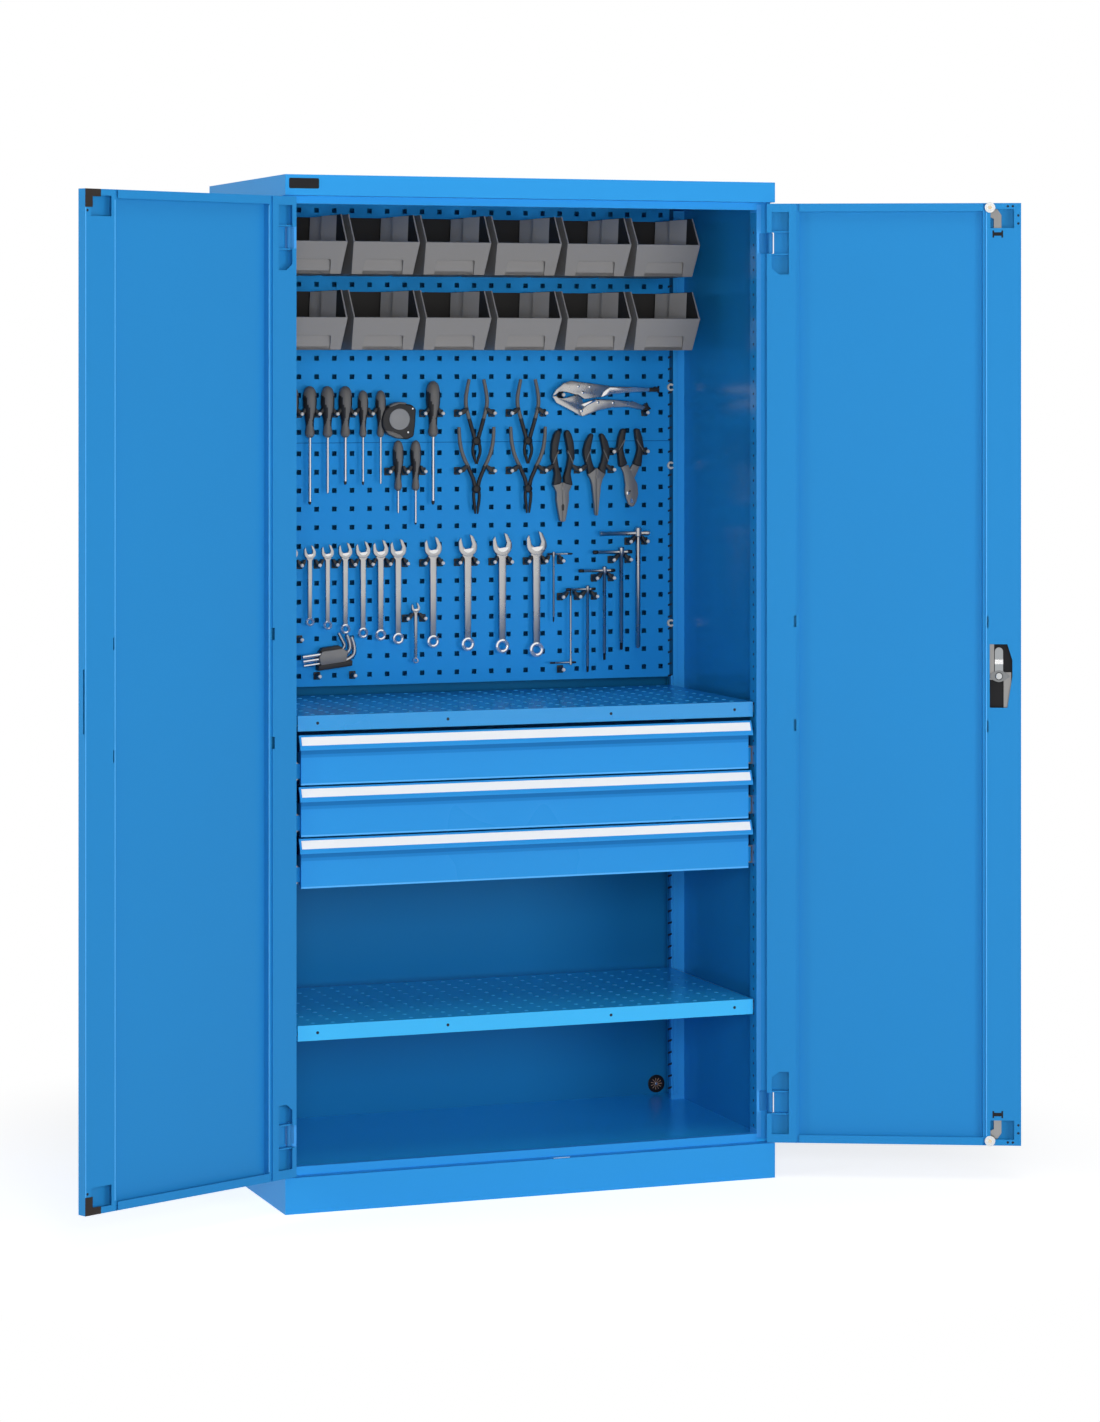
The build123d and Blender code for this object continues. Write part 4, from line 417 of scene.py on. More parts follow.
# ---------------------------------------------------------------- workbench
class Bench:
    """The workbench: starts shapes, shapes them in edit mode and hands them over as pieces, in mm."""

    @staticmethod
    def only(pieces: list[Piece]) -> None:
        """Leaves only these pieces selected, the first one active."""
        bpy.ops.object.select_all(action="DESELECT")
        for piece in pieces:
            piece.select_set(True)
        if pieces:
            bpy.context.view_layer.objects.active = pieces[0]

    @classmethod
    def settle(cls, piece: Piece) -> Piece:
        """Puts a piece's place and turn into its mesh."""
        cls.only([piece])
        bpy.ops.object.transform_apply(location=True, rotation=True, scale=True)
        return piece

    @classmethod
    def place(cls, piece: Piece, at: Spot, turn: Spot = HOME) -> Piece:
        """Turns a piece about the origin, then moves it.

        Args:
            piece: the piece to move.
            at: where the origin of its outline goes, in mm.
            turn: turns about X, Y and Z in degrees, in that order.

        Returns:
            The same piece with its place in its mesh.
        """
        cls.settle(piece)
        piece.rotation_euler = [radians(angle) for angle in turn]
        piece.location = Vector(at) * MM
        return cls.settle(piece)

    @classmethod
    def copy(cls, piece: Piece, shift: Spot) -> Piece:
        """Copies a piece with its own mesh, moved by shift."""
        cls.only([piece])
        bpy.ops.object.duplicate(linked=False)
        return cls.place(bpy.context.object, shift)

    @classmethod
    def join(cls, pieces: list[Piece]) -> Piece:
        """Joins pieces into the first one."""
        if len(pieces) > 1:
            cls.only(pieces)
            bpy.ops.object.join()
        return pieces[0]

    @classmethod
    def remove(cls, piece: Piece) -> None:
        """Takes a pattern piece away once it has been copied."""
        cls.only([piece])
        bpy.ops.object.delete()

    @staticmethod
    def coat(piece: Piece, finish: Finish) -> Piece:
        """Gives a whole piece one finish."""
        piece.data.materials.clear()
        piece.data.materials.append(finish.material())
        return piece

    @classmethod
    def paint(cls, piece: Piece, finish: Finish, chosen: Callable[[Vector], bool]) -> Piece:
        """Gives a second finish to the faces whose middle, in mm, is chosen.

        Args:
            piece: the piece to paint.
            finish: the finish of the chosen faces.
            chosen: says of a face's middle whether it is painted.

        Returns:
            The same piece.
        """
        piece.data.materials.append(finish.material())
        index = len(piece.data.materials) - 1
        for face in piece.data.polygons:
            if chosen(face.center / MM):
                face.material_index = index
        return piece

    @classmethod
    def choose(cls, piece: Piece, wanted: Callable[[bpy.types.MeshPolygon], bool]) -> None:
        """Opens a piece in edit mode with only the wanted faces selected."""
        cls.only([piece])
        bpy.ops.object.mode_set(mode="EDIT")
        bpy.ops.mesh.select_all(action="DESELECT")
        bpy.ops.object.mode_set(mode="OBJECT")
        for face in piece.data.polygons:
            face.select = wanted(face)
        bpy.ops.object.mode_set(mode="EDIT")

    @staticmethod
    def close_up() -> None:
        """Points all faces outwards and leaves edit mode."""
        bpy.ops.mesh.select_all(action="SELECT")
        bpy.ops.mesh.normals_make_consistent(inside=False)
        bpy.ops.object.mode_set(mode="OBJECT")

    @staticmethod
    def soften(width: float, segments: int, sharpness: float = 50.0) -> None:
        """Bevels the sharp edges of the piece in edit mode."""
        bpy.ops.mesh.select_all(action="SELECT")
        bpy.ops.mesh.normals_make_consistent(inside=False)
        bpy.ops.mesh.select_all(action="DESELECT")
        bpy.ops.mesh.edges_select_sharp(sharpness=radians(sharpness))
        bpy.ops.mesh.bevel(offset=width * MM, segments=segments, clamp_overlap=True)

    @classmethod
    def slab(cls, corners: list[Spot], depth: Spot, bevel: float = 0.0, segments: int = 2) -> Piece:
        """Plate of any outline: one corner drawn out from corner to corner, filled and thickened.

        Args:
            corners: the outline's corners in mm, in order, in one plane.
            depth: how far and which way the outline is thickened.
            bevel: width of the softened edges.
            segments: how many flats round the softened edges.

        Returns:
            The plate.
        """
        cls.only([])
        bpy.ops.mesh.primitive_plane_add(size=MM, location=Vector(corners[0]) * MM)
        piece = bpy.context.object
        bpy.ops.object.mode_set(mode="EDIT")
        bpy.ops.mesh.merge(type="CENTER")
        for here, there in zip(corners, corners[1:]):
            step = (Vector(there) - Vector(here)) * MM
            bpy.ops.mesh.extrude_vertices_move(TRANSFORM_OT_translate={"value": step})
        bpy.ops.mesh.select_all(action="SELECT")
        bpy.ops.mesh.edge_face_add()
        bpy.ops.mesh.extrude_region_move(TRANSFORM_OT_translate={"value": Vector(depth) * MM})
        if bevel:
            cls.soften(bevel, segments)
        cls.close_up()
        return cls.settle(piece)

    @classmethod
    def upright(
        cls, outline: list[Flat], front: float, back: float, bevel: float = 0.0, segments: int = 2
    ) -> Piece:
        """Plate that faces the viewer: an outline in x and z, between two depths."""
        return cls.slab([(x, front, z) for x, z in outline], (0.0, back - front, 0.0), bevel, segments)

    @classmethod
    def turned(cls, stations: list[Spot], sides: int = 20) -> Piece:
        """Round or oval shape that stands on the origin, drawn up from ring to ring.

        Args:
            stations: height, half width and half depth of each ring, in mm.
            sides: how many flats go round.

        Returns:
            The closed shape.
        """
        cls.only([])
        height, wide, deep = stations[0]
        bpy.ops.mesh.primitive_circle_add(
            vertices=sides, radius=MM, fill_type="NGON", location=(0.0, 0.0, height * MM)
        )
        piece = bpy.context.object
        bpy.ops.object.mode_set(mode="EDIT")
        bpy.ops.transform.resize(value=(wide, deep, 1.0))
        for (low, wide, deep), (high, next_wide, next_deep) in zip(stations, stations[1:]):
            rise = (0.0, 0.0, (high - low) * MM)
            bpy.ops.mesh.extrude_region_move(TRANSFORM_OT_translate={"value": rise})
            bpy.ops.transform.resize(value=(next_wide / wide, next_deep / deep, 1.0))
        cls.close_up()
        return cls.settle(piece)

    @classmethod
    def plate(
        cls, outline: list[Flat] | tuple[Flat, ...], at: Flat, depths: Flat, finish: Finish,
        bevel: float = 0.0, segments: int = 2, mirror: bool = False,
    ) -> Piece:
        """Coated plate that faces the viewer, its outline moved to its place."""
        return cls.coat(cls.upright(moved(outline, *at, mirror), *depths, bevel, segments), finish)

    @classmethod
    def knob(cls, stations: list[Flat], at: Spot, finish: Finish, sides: int = 14, turn: Spot = FORWARD) -> Piece:
        """Coated round shape that stands on a face and is turned its way."""
        return cls.coat(cls.place(cls.rod(stations, sides), at, turn), finish)

    @classmethod
    def rod(cls, stations: list[Flat], sides: int = 12) -> Piece:
        """Round shape from heights and radii."""
        return cls.turned([(height, radius, radius) for height, radius in stations], sides)

    @classmethod
    def ring(cls, radius: float, thickness: float, depth: float, sides: int = 24) -> Piece:
        """Ring that faces the viewer, flattened to a depth."""
        cls.only([])
        bpy.ops.mesh.primitive_torus_add(
            major_radius=radius * MM, minor_radius=thickness / 2 * MM, major_segments=sides,
            minor_segments=8, rotation=(pi / 2, 0.0, 0.0),
        )
        piece = bpy.context.object
        bpy.ops.object.mode_set(mode="EDIT")
        bpy.ops.transform.resize(value=(1.0, depth / thickness, 1.0))
        cls.close_up()
        return cls.settle(piece)

    @classmethod
    def bent_bar(cls, line: list[Spot], radius: float, ends: Flat = (1.0, 1.0), flats: int = 2) -> Piece:
        """Round bar along a line of points, its ends thinned or thickened.

        Args:
            line: the points of the bar's middle line, in mm.
            radius: radius of the bar.
            ends: radius at the two ends, as a share of the bar's.
            flats: how finely the bar is rounded.

        Returns:
            The bar as a closed mesh.
        """
        cls.only([])
        bpy.ops.curve.primitive_nurbs_path_add()
        path = bpy.context.object
        spline = path.data.splines[0]
        spline.points.add(max(0, len(line) - len(spline.points)))
        spare = len(spline.points) - len(line)
        spots = list(line) + [line[-1]] * spare
        last = len(spots) - 1
        for index, (point, spot) in enumerate(zip(spline.points, spots)):
            point.co = (*(Vector(spot) * MM), 1.0)
            share = index / last
            point.radius = 1.0
            if share < BAR_ENDS:
                point.radius = ends[0]
            elif share > 1.0 - BAR_ENDS:
                point.radius = ends[1]
        spline.order_u = 3
        spline.use_endpoint_u = True
        path.data.resolution_u = 3
        path.data.bevel_depth = radius * MM
        path.data.bevel_resolution = flats
        path.data.use_fill_caps = True
        cls.only([path])
        bpy.ops.object.convert(target="MESH")
        piece = bpy.context.object
        bpy.ops.object.mode_set(mode="EDIT")
        cls.close_up()
        return cls.settle(piece)

    @classmethod
    def row(cls, piece: Piece, count: int, step: Spot) -> Piece:
        """Repeats a shape in a straight row inside its own mesh."""
        cls.only([piece])
        bpy.ops.object.modifier_add(type="ARRAY")
        repeat = piece.modifiers[-1]
        repeat.count = count
        repeat.use_relative_offset = False
        repeat.use_constant_offset = True
        repeat.constant_offset_displace = Vector(step) * MM
        bpy.ops.object.modifier_apply(modifier=repeat.name)
        return piece

    @classmethod
    def cut(cls, piece: Piece, tool: Piece) -> Piece:
        """Cuts a tool's shape out of a piece and takes the tool away."""
        cls.only([piece])
        bpy.ops.object.modifier_add(type="BOOLEAN")
        cutter = piece.modifiers[-1]
        cutter.operation = "DIFFERENCE"
        cutter.solver = "EXACT"
        cutter.object = tool
        bpy.ops.object.modifier_apply(modifier=cutter.name)
        cls.remove(tool)
        return piece

    @classmethod
    def deliver(
        cls, shapes: list[Piece], name: str, finish: Finish, *stands_for: str,
        body: Body = Body.CABINET, smooth: float = 35.0,
    ) -> None:
        """Finishes a piece: name, shading, finish if it has none, body and the CAD nodes it stands for.

        Args:
            shapes: the finished shapes that make up the piece.
            name: the piece's own name.
            finish: its main finish, given to the piece when it has none.
            stands_for: CAD nodes that it is shown instead of.
            body: the body it rides on.
            smooth: edges below this angle in degrees are shaded smooth.
        """
        piece = cls.join(shapes)
        cls.only([piece])
        bpy.ops.object.shade_smooth_by_angle(angle=radians(smooth))
        piece.name = name
        piece.data.name = name
        if not piece.data.materials:
            cls.coat(piece, finish)
        if stands_for:
            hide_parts(*stands_for)
        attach(piece, body.value)
        BENCH_LOG.info("%s: %d faces on %s", name, len(piece.data.polygons), body.value)


@dataclass(frozen=True)
class HoleGrid:
    """The square hole grid of the two perforated panels, read from the frame."""

    pitch: float = 38.0
    middle_column: int = 12
    middle_row: int = 6
    tool_standout: float = 15.0
    hook_rise: float = 12.3

    @property
    def face_y(self) -> float:
        """Depth of the panels' front face."""
        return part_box("upper_pegboard")[0].y / MM

    @property
    def tool_y(self) -> float:
        """Depth of the middle plane of the hung tools."""
        return self.face_y - self.tool_standout

    def x(self, column: float) -> float:
        """Place of a hole column."""
        return (column - self.middle_column) * self.pitch

    def z(self, board: str, row: float) -> float:
        """Height of a hole row of the upper or lower panel."""
        low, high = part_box(f"{board}_pegboard")
        return (low.z + high.z) / 2 / MM + (row - self.middle_row) * self.pitch

    def rest(self, board: str, row: float) -> float:
        """Height at which a tool rests on the hooks of a row."""
        return self.z(board, row) + self.hook_rise


GRID = HoleGrid()
UPPER = "upper"
LOWER = "lower"


def arc(centre: Flat, radius: float, start: float, end: float, steps: int) -> list[Flat]:
    """Points along an arc, angles in degrees from +X towards +Z."""
    return [
        (
            centre[0] + radius * cos(radians(start + (end - start) * step / steps)),
            centre[1] + radius * sin(radians(start + (end - start) * step / steps)),
        )
        for step in range(steps + 1)
    ]


def rectangle(left: float, right: float, low: float, high: float) -> list[Flat]:
    """Corners of a rectangle in x and z."""
    return [(left, low), (right, low), (right, high), (left, high)]


def moved(outline: list[Flat] | tuple[Flat, ...], x: float, z: float, mirror: bool = False) -> list[Flat]:
    """An outline moved to its place, mirrored left to right if wanted."""
    side = -1.0 if mirror else 1.0
    return [(x + side * across, z + height) for across, height in outline]


# ---------------------------------------------------------------- storage bins
@dataclass
class StorageBins:
    """Two rows of open-fronted moulded bins with a label recess."""

    count: int = 6
    top_width: float = 139.0
    bottom_width: float = 129.0
    depth: float = 237.0
    height: float = 120.0
    front_height: float = 64.0
    front_lean: float = 32.0
    flat_top: float = 197.0
    wall: float = 2.5
    recess: tuple[float, float, float] = (40.5, 42.5, 29.0)  # half widths above and below, height
    recess_round: float = 4.0
    recess_depth: Flat = (1.2, 8.5)  # at its foot and at its top
    pocket_wall: float = 2.0
    ribs: tuple[Flat, ...] = ((171.0, 69.0), (90.0, 69.0))  # from the rear, width
    rib_rise: float = 11.0

    def shell(self) -> Piece:
        """Models one empty bin whose bottom rear edge lies on the origin.

        Returns:
            The open shell with its walls.
        """
        front = -self.depth
        half = self.top_width / 2
        shell = Bench.slab(
            [
                (-half, 0.0, 0.0),
                (-half, 0.0, self.height),
                (-half, -self.flat_top, self.height),
                (-half, front, self.front_height),
                (-half, front + self.front_lean, 0.0),
            ],
            (self.top_width, 0.0, 0.0),
        )
        Bench.choose(shell, lambda face: face.normal.z < -0.5)
        bpy.ops.transform.resize(value=(self.bottom_width / self.top_width, 1.0, 1.0))
        bpy.ops.object.mode_set(mode="OBJECT")
        Bench.choose(shell, lambda face: face.normal.z > 0.3 and face.center.z > self.front_height * MM)
        bpy.ops.mesh.delete(type="ONLY_FACE")
        bpy.ops.object.mode_set(mode="OBJECT")
        bpy.ops.object.modifier_add(type="SOLIDIFY")
        walls = shell.modifiers[-1]
        walls.thickness = self.wall * MM
        walls.offset = -1.0
        walls.use_even_offset = True
        bpy.ops.object.modifier_apply(modifier=walls.name)
        return shell

    def recess_block(self, grow: float, behind: Flat, depth: float) -> Piece:
        """Block in the shape of the label recess, its outline on a leaning plane.

        Args:
            grow: how far it is larger than the recess.
            behind: how far the outline lies behind the front at the recess's foot and top.
            depth: how far and which way the block runs along Y.

        Returns:
            The block.
        """
        above, below, height = self.recess
        top, wide, curve = height + grow, above + grow, self.recess_round
        side = [
            (below + grow, 0.0 if grow else -1.0), (wide, top - curve),
            (wide - curve * 0.3, top - curve * 0.3), (wide - curve, top),
        ]
        outline = side + [(-across, up) for across, up in reversed(side)]
        corners = []
        for across, up in outline:
            front = self.front_lean * (1.0 - up / self.front_height) - self.depth
            corners.append((across, front + behind[0] + (behind[1] - behind[0]) * up / height, up))
        return Bench.slab(corners, (0.0, depth, 0.0))

    def inside(self, middle: Vector) -> bool:
        """Tells the shell's inner rear, side and bottom faces by their middle, the faces that get the painted
        shade.
        """
        side = (self.top_width + self.bottom_width) / 4 - self.wall / 2
        rear = -2 * self.wall < middle.y < -self.wall / 2 and middle.z < self.height - 2 * self.wall
        floor = self.wall / 2 < middle.z < 2 * self.wall and middle.y > -self.depth / 2 - self.front_lean
        walls = side - 2 * self.wall < abs(middle.x) < side and -self.flat_top < middle.y < -self.flat_top / 4
        return rear or floor or walls

    def rib(self, side: float, from_rear: float, width: float) -> Piece:
        """Raised wedge on the inside of a side wall."""
        foot = side * (self.bottom_width / 2 - self.wall)
        tall = self.height - self.wall - 1.0
        spread = side * (self.top_width - self.bottom_width) / 2 * tall / self.height
        return Bench.slab(
            [
                (foot, -from_rear, self.wall),
                (foot, -from_rear + width, self.wall),
                (foot - side * self.rib_rise, -from_rear + width, self.wall),
            ],
            (spread, 0.0, tall),
        )

    def build(self) -> None:
        """Builds one bin and hangs its copies in two rows."""
        shell = Bench.cut(self.shell(), self.recess_block(0.0, self.recess_depth, -30.0))
        # the inner rear, side and bottom faces get the dark grey of painted shade
        Bench.paint(Bench.coat(shell, BIN_GREY), BIN_INSIDE_SHADE, self.inside)
        block = self.recess_block(self.pocket_wall, (0.6, 0.6), 12.0)
        pocket = Bench.cut(block, self.recess_block(0.0, self.recess_depth, -30.0))
        shapes = [shell, Bench.coat(pocket, BIN_GREY)]
        # the ribs get the lighter grey of painted light
        shapes += [Bench.coat(self.rib(side, *rib), BIN_RIB_LIT) for rib in self.ribs for side in (-1.0, 1.0)]
        bin_piece = Bench.join(shapes)
        pitch = 4 * GRID.pitch
        low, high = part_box("storage_bins")
        bottoms = (high.z / MM - self.height, low.z / MM)
        for row, bottom in zip(("top", "bottom"), bottoms):
            for place in range(self.count):
                x = (place - (self.count - 1) / 2) * pitch
                copied = Bench.copy(bin_piece, (x, GRID.face_y, bottom))
                Bench.deliver([copied], f"bin_{row}_{place + 1}", BIN_GREY, "storage_bins", smooth=20.0)
        Bench.remove(bin_piece)


# ---------------------------------------------------------------- hooks
@dataclass
class ToolHooks:
    """Black hook arms on the panels, each prong ending in a pale ball."""

    prong_half: float = 4.0
    foot: Spot = (3.0, 8.0, 4.0)  # beside the prong, half height, depth
    tip_y: float = 177.3
    ball_radius: float = 4.0
    ball_length: float = 8.0
    arm_front: float = 183.0
    arm_back: float = 198.0
    arm_rise: float = 12.0
    arm_width: float = 5.0
    driver_reach: float = 10.0
    spanner_reach: float = 9.0
    key_reach: float = 13.0
    pliers_reach: float = 18.0

    def ball(self) -> Piece:
        """Ball on its short neck, facing the viewer."""
        radius, length = self.ball_radius, self.ball_length
        stations = [(0.0, radius * 0.7), (1.0, radius * 0.8)]
        for step in range(1, 8):
            angle = 20.0 + 160.0 * step / 8
            stations.append((length / 2 - cos(radians(angle)) * length / 2, radius * sin(radians(angle))))
        ball = Bench.rod(stations, 14)
        return Bench.place(ball, (0.0, self.tip_y + length, 0.0), FORWARD)

    def arm(self, left: float, right: float, rise: float) -> Piece:
        """One hook: foot on the panel, prong to the ball and arms to the tools beside it.

        Args:
            left: reach of the arm on the left, or nought.
            right: reach of the arm on the right, or nought.
            rise: how far the arms rise above the hole row.

        Returns:
            The hook without its ball.
        """
        half = self.prong_half
        beside, tall, deep = self.foot
        outline = rectangle(-half - beside, half + beside, -tall, tall)
        foot = Bench.upright(outline, GRID.face_y - deep, GRID.face_y, 1.5)
        stations = [
            (0.0, half + 2, 6.5), (10.0, half + 1.5, 5.5), (21.0, half, half), (23.0, half - 1, half - 1),
        ]
        prong = Bench.place(Bench.turned(stations, 8), (0.0, GRID.face_y - 1, 0.0), FORWARD)
        shapes = [foot, prong]
        for side, reach in ((-1.0, left), (1.0, right)):
            if reach:
                outline = [
                    (0.0, -4.5),
                    (side * reach * 0.55, -1.5),
                    (side * reach, rise - self.arm_width),
                    (side * reach, rise),
                    (side * (reach - 3.5), rise),
                    (side * 1.5, 5.0),
                ]
                shapes.append(Bench.upright(outline, self.arm_front, self.arm_back, 1.0))
        return Bench.coat(Bench.join(shapes), HOOK_BLACK)

    def places(self) -> list[tuple[float, tuple[str, float], float, float, float]]:
        """Column, row, left reach, right reach and rise of every hook."""
        found: list[tuple[float, tuple[str, float], float, float, float]] = []

        def comb(first: int, count: int, row: tuple[str, float], reach: float, step: int = 1) -> None:
            """Adds the hooks of one row of tools."""
            for prong in range(count + 1):
                left = reach if prong else 0.0
                right = reach if prong < count else 0.0
                found.append((first + prong * step, row, left, right, self.arm_rise))

        comb(2, 6, (UPPER, 1), self.driver_reach)
        comb(10, 1, (UPPER, 1), self.driver_reach)
        comb(8, 2, (LOWER, 11), self.driver_reach)
        comb(2, 7, (LOWER, 6), self.spanner_reach)
        for column in (10, 12, 14):
            comb(column, 1, (LOWER, 6), self.spanner_reach)
        comb(16, 2, (LOWER, 6), self.spanner_reach)
        comb(9, 1, (LOWER, 3), self.key_reach)
        for column in (12, 15):
            comb(column, 1, (UPPER, 1), self.pliers_reach, 2)
        comb(12, 1, (LOWER, 11), self.pliers_reach, 2)
        comb(15, 3, (LOWER, 11), self.pliers_reach, 2)
        comb(21, 1, (LOWER, 12), self.pliers_reach, 2)
        comb(18, 2, (LOWER, 4), self.key_reach)
        for column, row in ((20, 5), (21, 6), (22, 7)):
            comb(column, 1, (LOWER, row), self.key_reach)
        for column, row in (
            (9, (UPPER, 0)), (4, (LOWER, 0)), (6, (LOWER, 0)), (18, (LOWER, 0)), (3, (LOWER, 2)),
            (23, (UPPER, 1)), (18, (UPPER, 2)),
        ):
            found.append((column, row, 0.0, 0.0, 0.0))
        return found

    def build(self) -> None:
        """Models each kind of hook once and copies it to its places."""
        kinds: dict[tuple[float, float, float], Piece] = {}
        ball = Bench.coat(self.ball(), HOOK_TIP)
        arms, balls = [], []
        for column, (board, row), left, right, rise in self.places():
            kind = (left, right, rise)
            if kind not in kinds:
                kinds[kind] = self.arm(left, right, rise)
            spot = (GRID.x(column), 0.0, GRID.z(board, row))
            arms.append(Bench.copy(kinds[kind], spot))
            balls.append(Bench.copy(ball, spot))
        for pattern in (*kinds.values(), ball):
            Bench.remove(pattern)
        Bench.deliver(arms, "hook_arms", HOOK_BLACK, "tool_hooks")
        Bench.deliver(balls, "hook_balls", HOOK_TIP, "tool_hooks", smooth=60.0)


# ---------------------------------------------------------------- screwdrivers
@dataclass(frozen=True)
class Driver:
    """One screwdriver: its hooks and its lengths above and below them."""

    column: float
    row: tuple[str, float]
    radius: float
    above: float
    below: float
    blade: float
    dark_tip: float = 0.0


@dataclass
class Screwdrivers:
    """Screwdrivers with domed two-tone grips and round blades."""

    drivers: tuple[Driver, ...] = (
        Driver(2, (UPPER, 1), 14.3, 44.5, 61.0, 139.0, 0.0),
        Driver(3, (UPPER, 1), 14.3, 44.5, 61.0, 137.0, 6.0),
        Driver(4, (UPPER, 1), 14.3, 44.5, 61.0, 115.0, 0.0),
        Driver(5, (UPPER, 1), 14.3, 44.5, 61.0, 97.0, 7.0),
        Driver(6, (UPPER, 1), 11.0, 35.5, 61.0, 98.0, 7.0),
        Driver(7, (UPPER, 1), 11.0, 35.5, 61.0, 96.0, 0.0),
        Driver(10, (UPPER, 1), 15.0, 54.5, 61.0, 140.0, 8.0),
        Driver(8, (LOWER, 11), 11.5, 52.0, 52.0, 46.0, 0.0),
        Driver(9, (LOWER, 11), 11.5, 52.0, 52.0, 70.0, 4.0),
    )
    # share of the way from the foot to the top, radius as a share of the grip's
    profile: tuple[Flat, ...] = (
        (0.0, 0.30), (0.03, 0.56), (0.07, 0.68), (0.12, 0.66), (0.18, 0.58), (0.25, 0.56), (0.32, 0.60),
        (0.40, 0.70), (0.48, 0.82), (0.56, 0.92), (0.64, 0.99), (0.73, 1.0), (0.81, 0.97), (0.88, 0.88),
        (0.93, 0.76), (0.97, 0.56), (1.0, 0.20),
    )
    # share of the height, middle of the pale inlay and its half width as shares of the radius
    inlay: tuple[Spot, ...] = (
        (0.16, 0.0, 1.3), (0.22, -0.12, 0.40), (0.34, -0.05, 0.24), (0.45, 0.15, 0.24), (0.55, 0.20, 0.34),
        (0.66, 0.0, 0.56), (0.80, -0.05, 0.66), (0.86, 0.0, 1.3),
    )
    sides: int = 28
    steps: int = 3
    blade_radius: float = 3.3

    def inlay_at(self, share: float) -> Flat:
        """Middle and half width of the pale inlay at a share of the height."""
        if share <= self.inlay[0][0] or share >= self.inlay[-1][0]:
            return 0.0, 2.0
        for (low, middle, half), (high, next_middle, next_half) in zip(self.inlay, self.inlay[1:]):
            if share <= high:
                blend = (share - low) / (high - low)
                return middle + blend * (next_middle - middle), half + blend * (next_half - half)
        return 0.0, 2.0

    def grip(self, driver: Driver) -> Piece:
        """Grip of one screwdriver, standing on the origin."""
        length = driver.above + driver.below
        stations: list[Flat] = []
        for (low, radius), (high, next_radius) in zip(self.profile, self.profile[1:]):
            for step in range(self.steps):
                blend = step / self.steps
                share, wide = low + blend * (high - low), radius + blend * (next_radius - radius)
                stations.append((share * length, wide * driver.radius))
        stations.append((length, self.profile[-1][1] * driver.radius))
        grip = Bench.coat(Bench.rod(stations, self.sides), GRIP_BLACK)

        def pale(middle: Vector) -> bool:
            """Whether a face of the grip belongs to the pale inlay, cap or collar."""
            centre, half = self.inlay_at(middle.z / length)
            return half > 1.0 or (middle.y < 0.0 and abs(middle.x / driver.radius - centre) < half)

        return Bench.paint(grip, GRIP_GREY, pale)

    def build(self) -> None:
        """Builds every screwdriver with its blade."""
        for number, driver in enumerate(self.drivers, 1):
            x = GRID.x(driver.column + 0.5)
            foot = GRID.rest(*driver.row) - driver.below
            grip = Bench.place(self.grip(driver), (x, GRID.tool_y, foot))
            Bench.deliver([grip], f"screwdriver_grip_{number}", GRIP_BLACK, "screwdriver_handles", smooth=50.0)
            radius = self.blade_radius * driver.radius / 14.3
            stations = [(-driver.blade, radius * 0.5), (-driver.blade + 3.0, radius * 0.9)]
            if driver.dark_tip:
                stations.append((-driver.blade + driver.dark_tip, radius))
            stations += [(-driver.blade + 12.0, radius), (-4.0, radius), (2.0, radius * 1.2)]
            blade = Bench.coat(Bench.rod(stations, 12), TOOL_EDGE)
            tip = -driver.blade + driver.dark_tip
            Bench.paint(blade, TOOL_DARK, lambda middle, tip=tip: middle.z < tip)
            Bench.place(blade, (x, GRID.tool_y, foot))
            Bench.deliver([blade], f"screwdriver_blade_{number}", TOOL_STEEL, "screwdriver_blades", smooth=50.0)


# ---------------------------------------------------------------- tape measure
@dataclass
class TapeMeasure:
    """Pocket tape measure: rounded black case with a pale disc and rubber straps."""

    column: float = 8.45
    centre_row: float = 0.62
    depth: float = 27.0
    disc_radius: float = 22.0
    case: tuple[Flat, ...] = (
        (-20.0, 31.0), (-32.0, 20.0), (-37.0, 4.0), (-36.0, -12.0), (-30.0, -23.0), (-18.0, -30.0),
        (0.0, -37.0), (18.0, -39.0), (32.0, -33.0), (35.0, -8.0), (37.0, 24.0), (27.0, 33.0), (4.0, 36.0),
    )
    top_strap: tuple[Flat, ...] = (
        (-23.0, 29.0), (-12.0, 36.0), (2.0, 38.5), (16.0, 36.5), (14.0, 33.0), (0.0, 34.0), (-18.0, 28.0),
    )
    lower_lip: tuple[Flat, ...] = (
        (-31.0, -20.0), (-14.0, -22.0), (2.0, -29.0), (10.0, -37.0), (-6.0, -36.0), (-22.0, -29.0),
    )
    screws: tuple[Flat, ...] = ((29.0, 25.0), (19.0, -24.0))

    def build(self) -> None:
        """Builds the case, its disc, straps and screws as one piece."""
        x, z = at = GRID.x(self.column), GRID.z(UPPER, self.centre_row)
        back = GRID.face_y - 2.0
        front = back - self.depth
        shapes = [Bench.plate(self.case, at, (front, back), GRIP_BLACK, 4.0, 4)]
        for outline in (self.top_strap, self.lower_lip):
            shapes.append(Bench.plate(outline, at, (front - 1.5, back - 6.0), GRIP_GREY, 2.0, 3))
        radius = self.disc_radius
        disc = [(0.0, radius), (2.4, radius), (3.0, radius - 1.5), (2.4, radius - 3.0)]
        shapes.append(Bench.knob(disc, (x, front, z + 3.0), DISC_GREY, 40))
        for across, up in self.screws:
            spot = (x + across, front, z + up)
            shapes.append(Bench.knob([(0.0, 2.4), (1.2, 2.2), (1.8, 1.2)], spot, TOOL_EDGE, 12))
        Bench.deliver(shapes, "tape_measure_case", BLACK_PLASTIC, "tape_measure")


# ---------------------------------------------------------------- pliers
@dataclass(frozen=True)
class JawShape:
    """Outline of one kind of pliers, to the right of its middle line and from its hooks."""

    handle: tuple[Flat, ...]
    inlay: tuple[Flat, ...]
    head: tuple[Flat, ...]
    rivets: tuple[tuple[float, float, float, Finish], ...]  # across, up, radius, finish
    mirror_head: bool = True


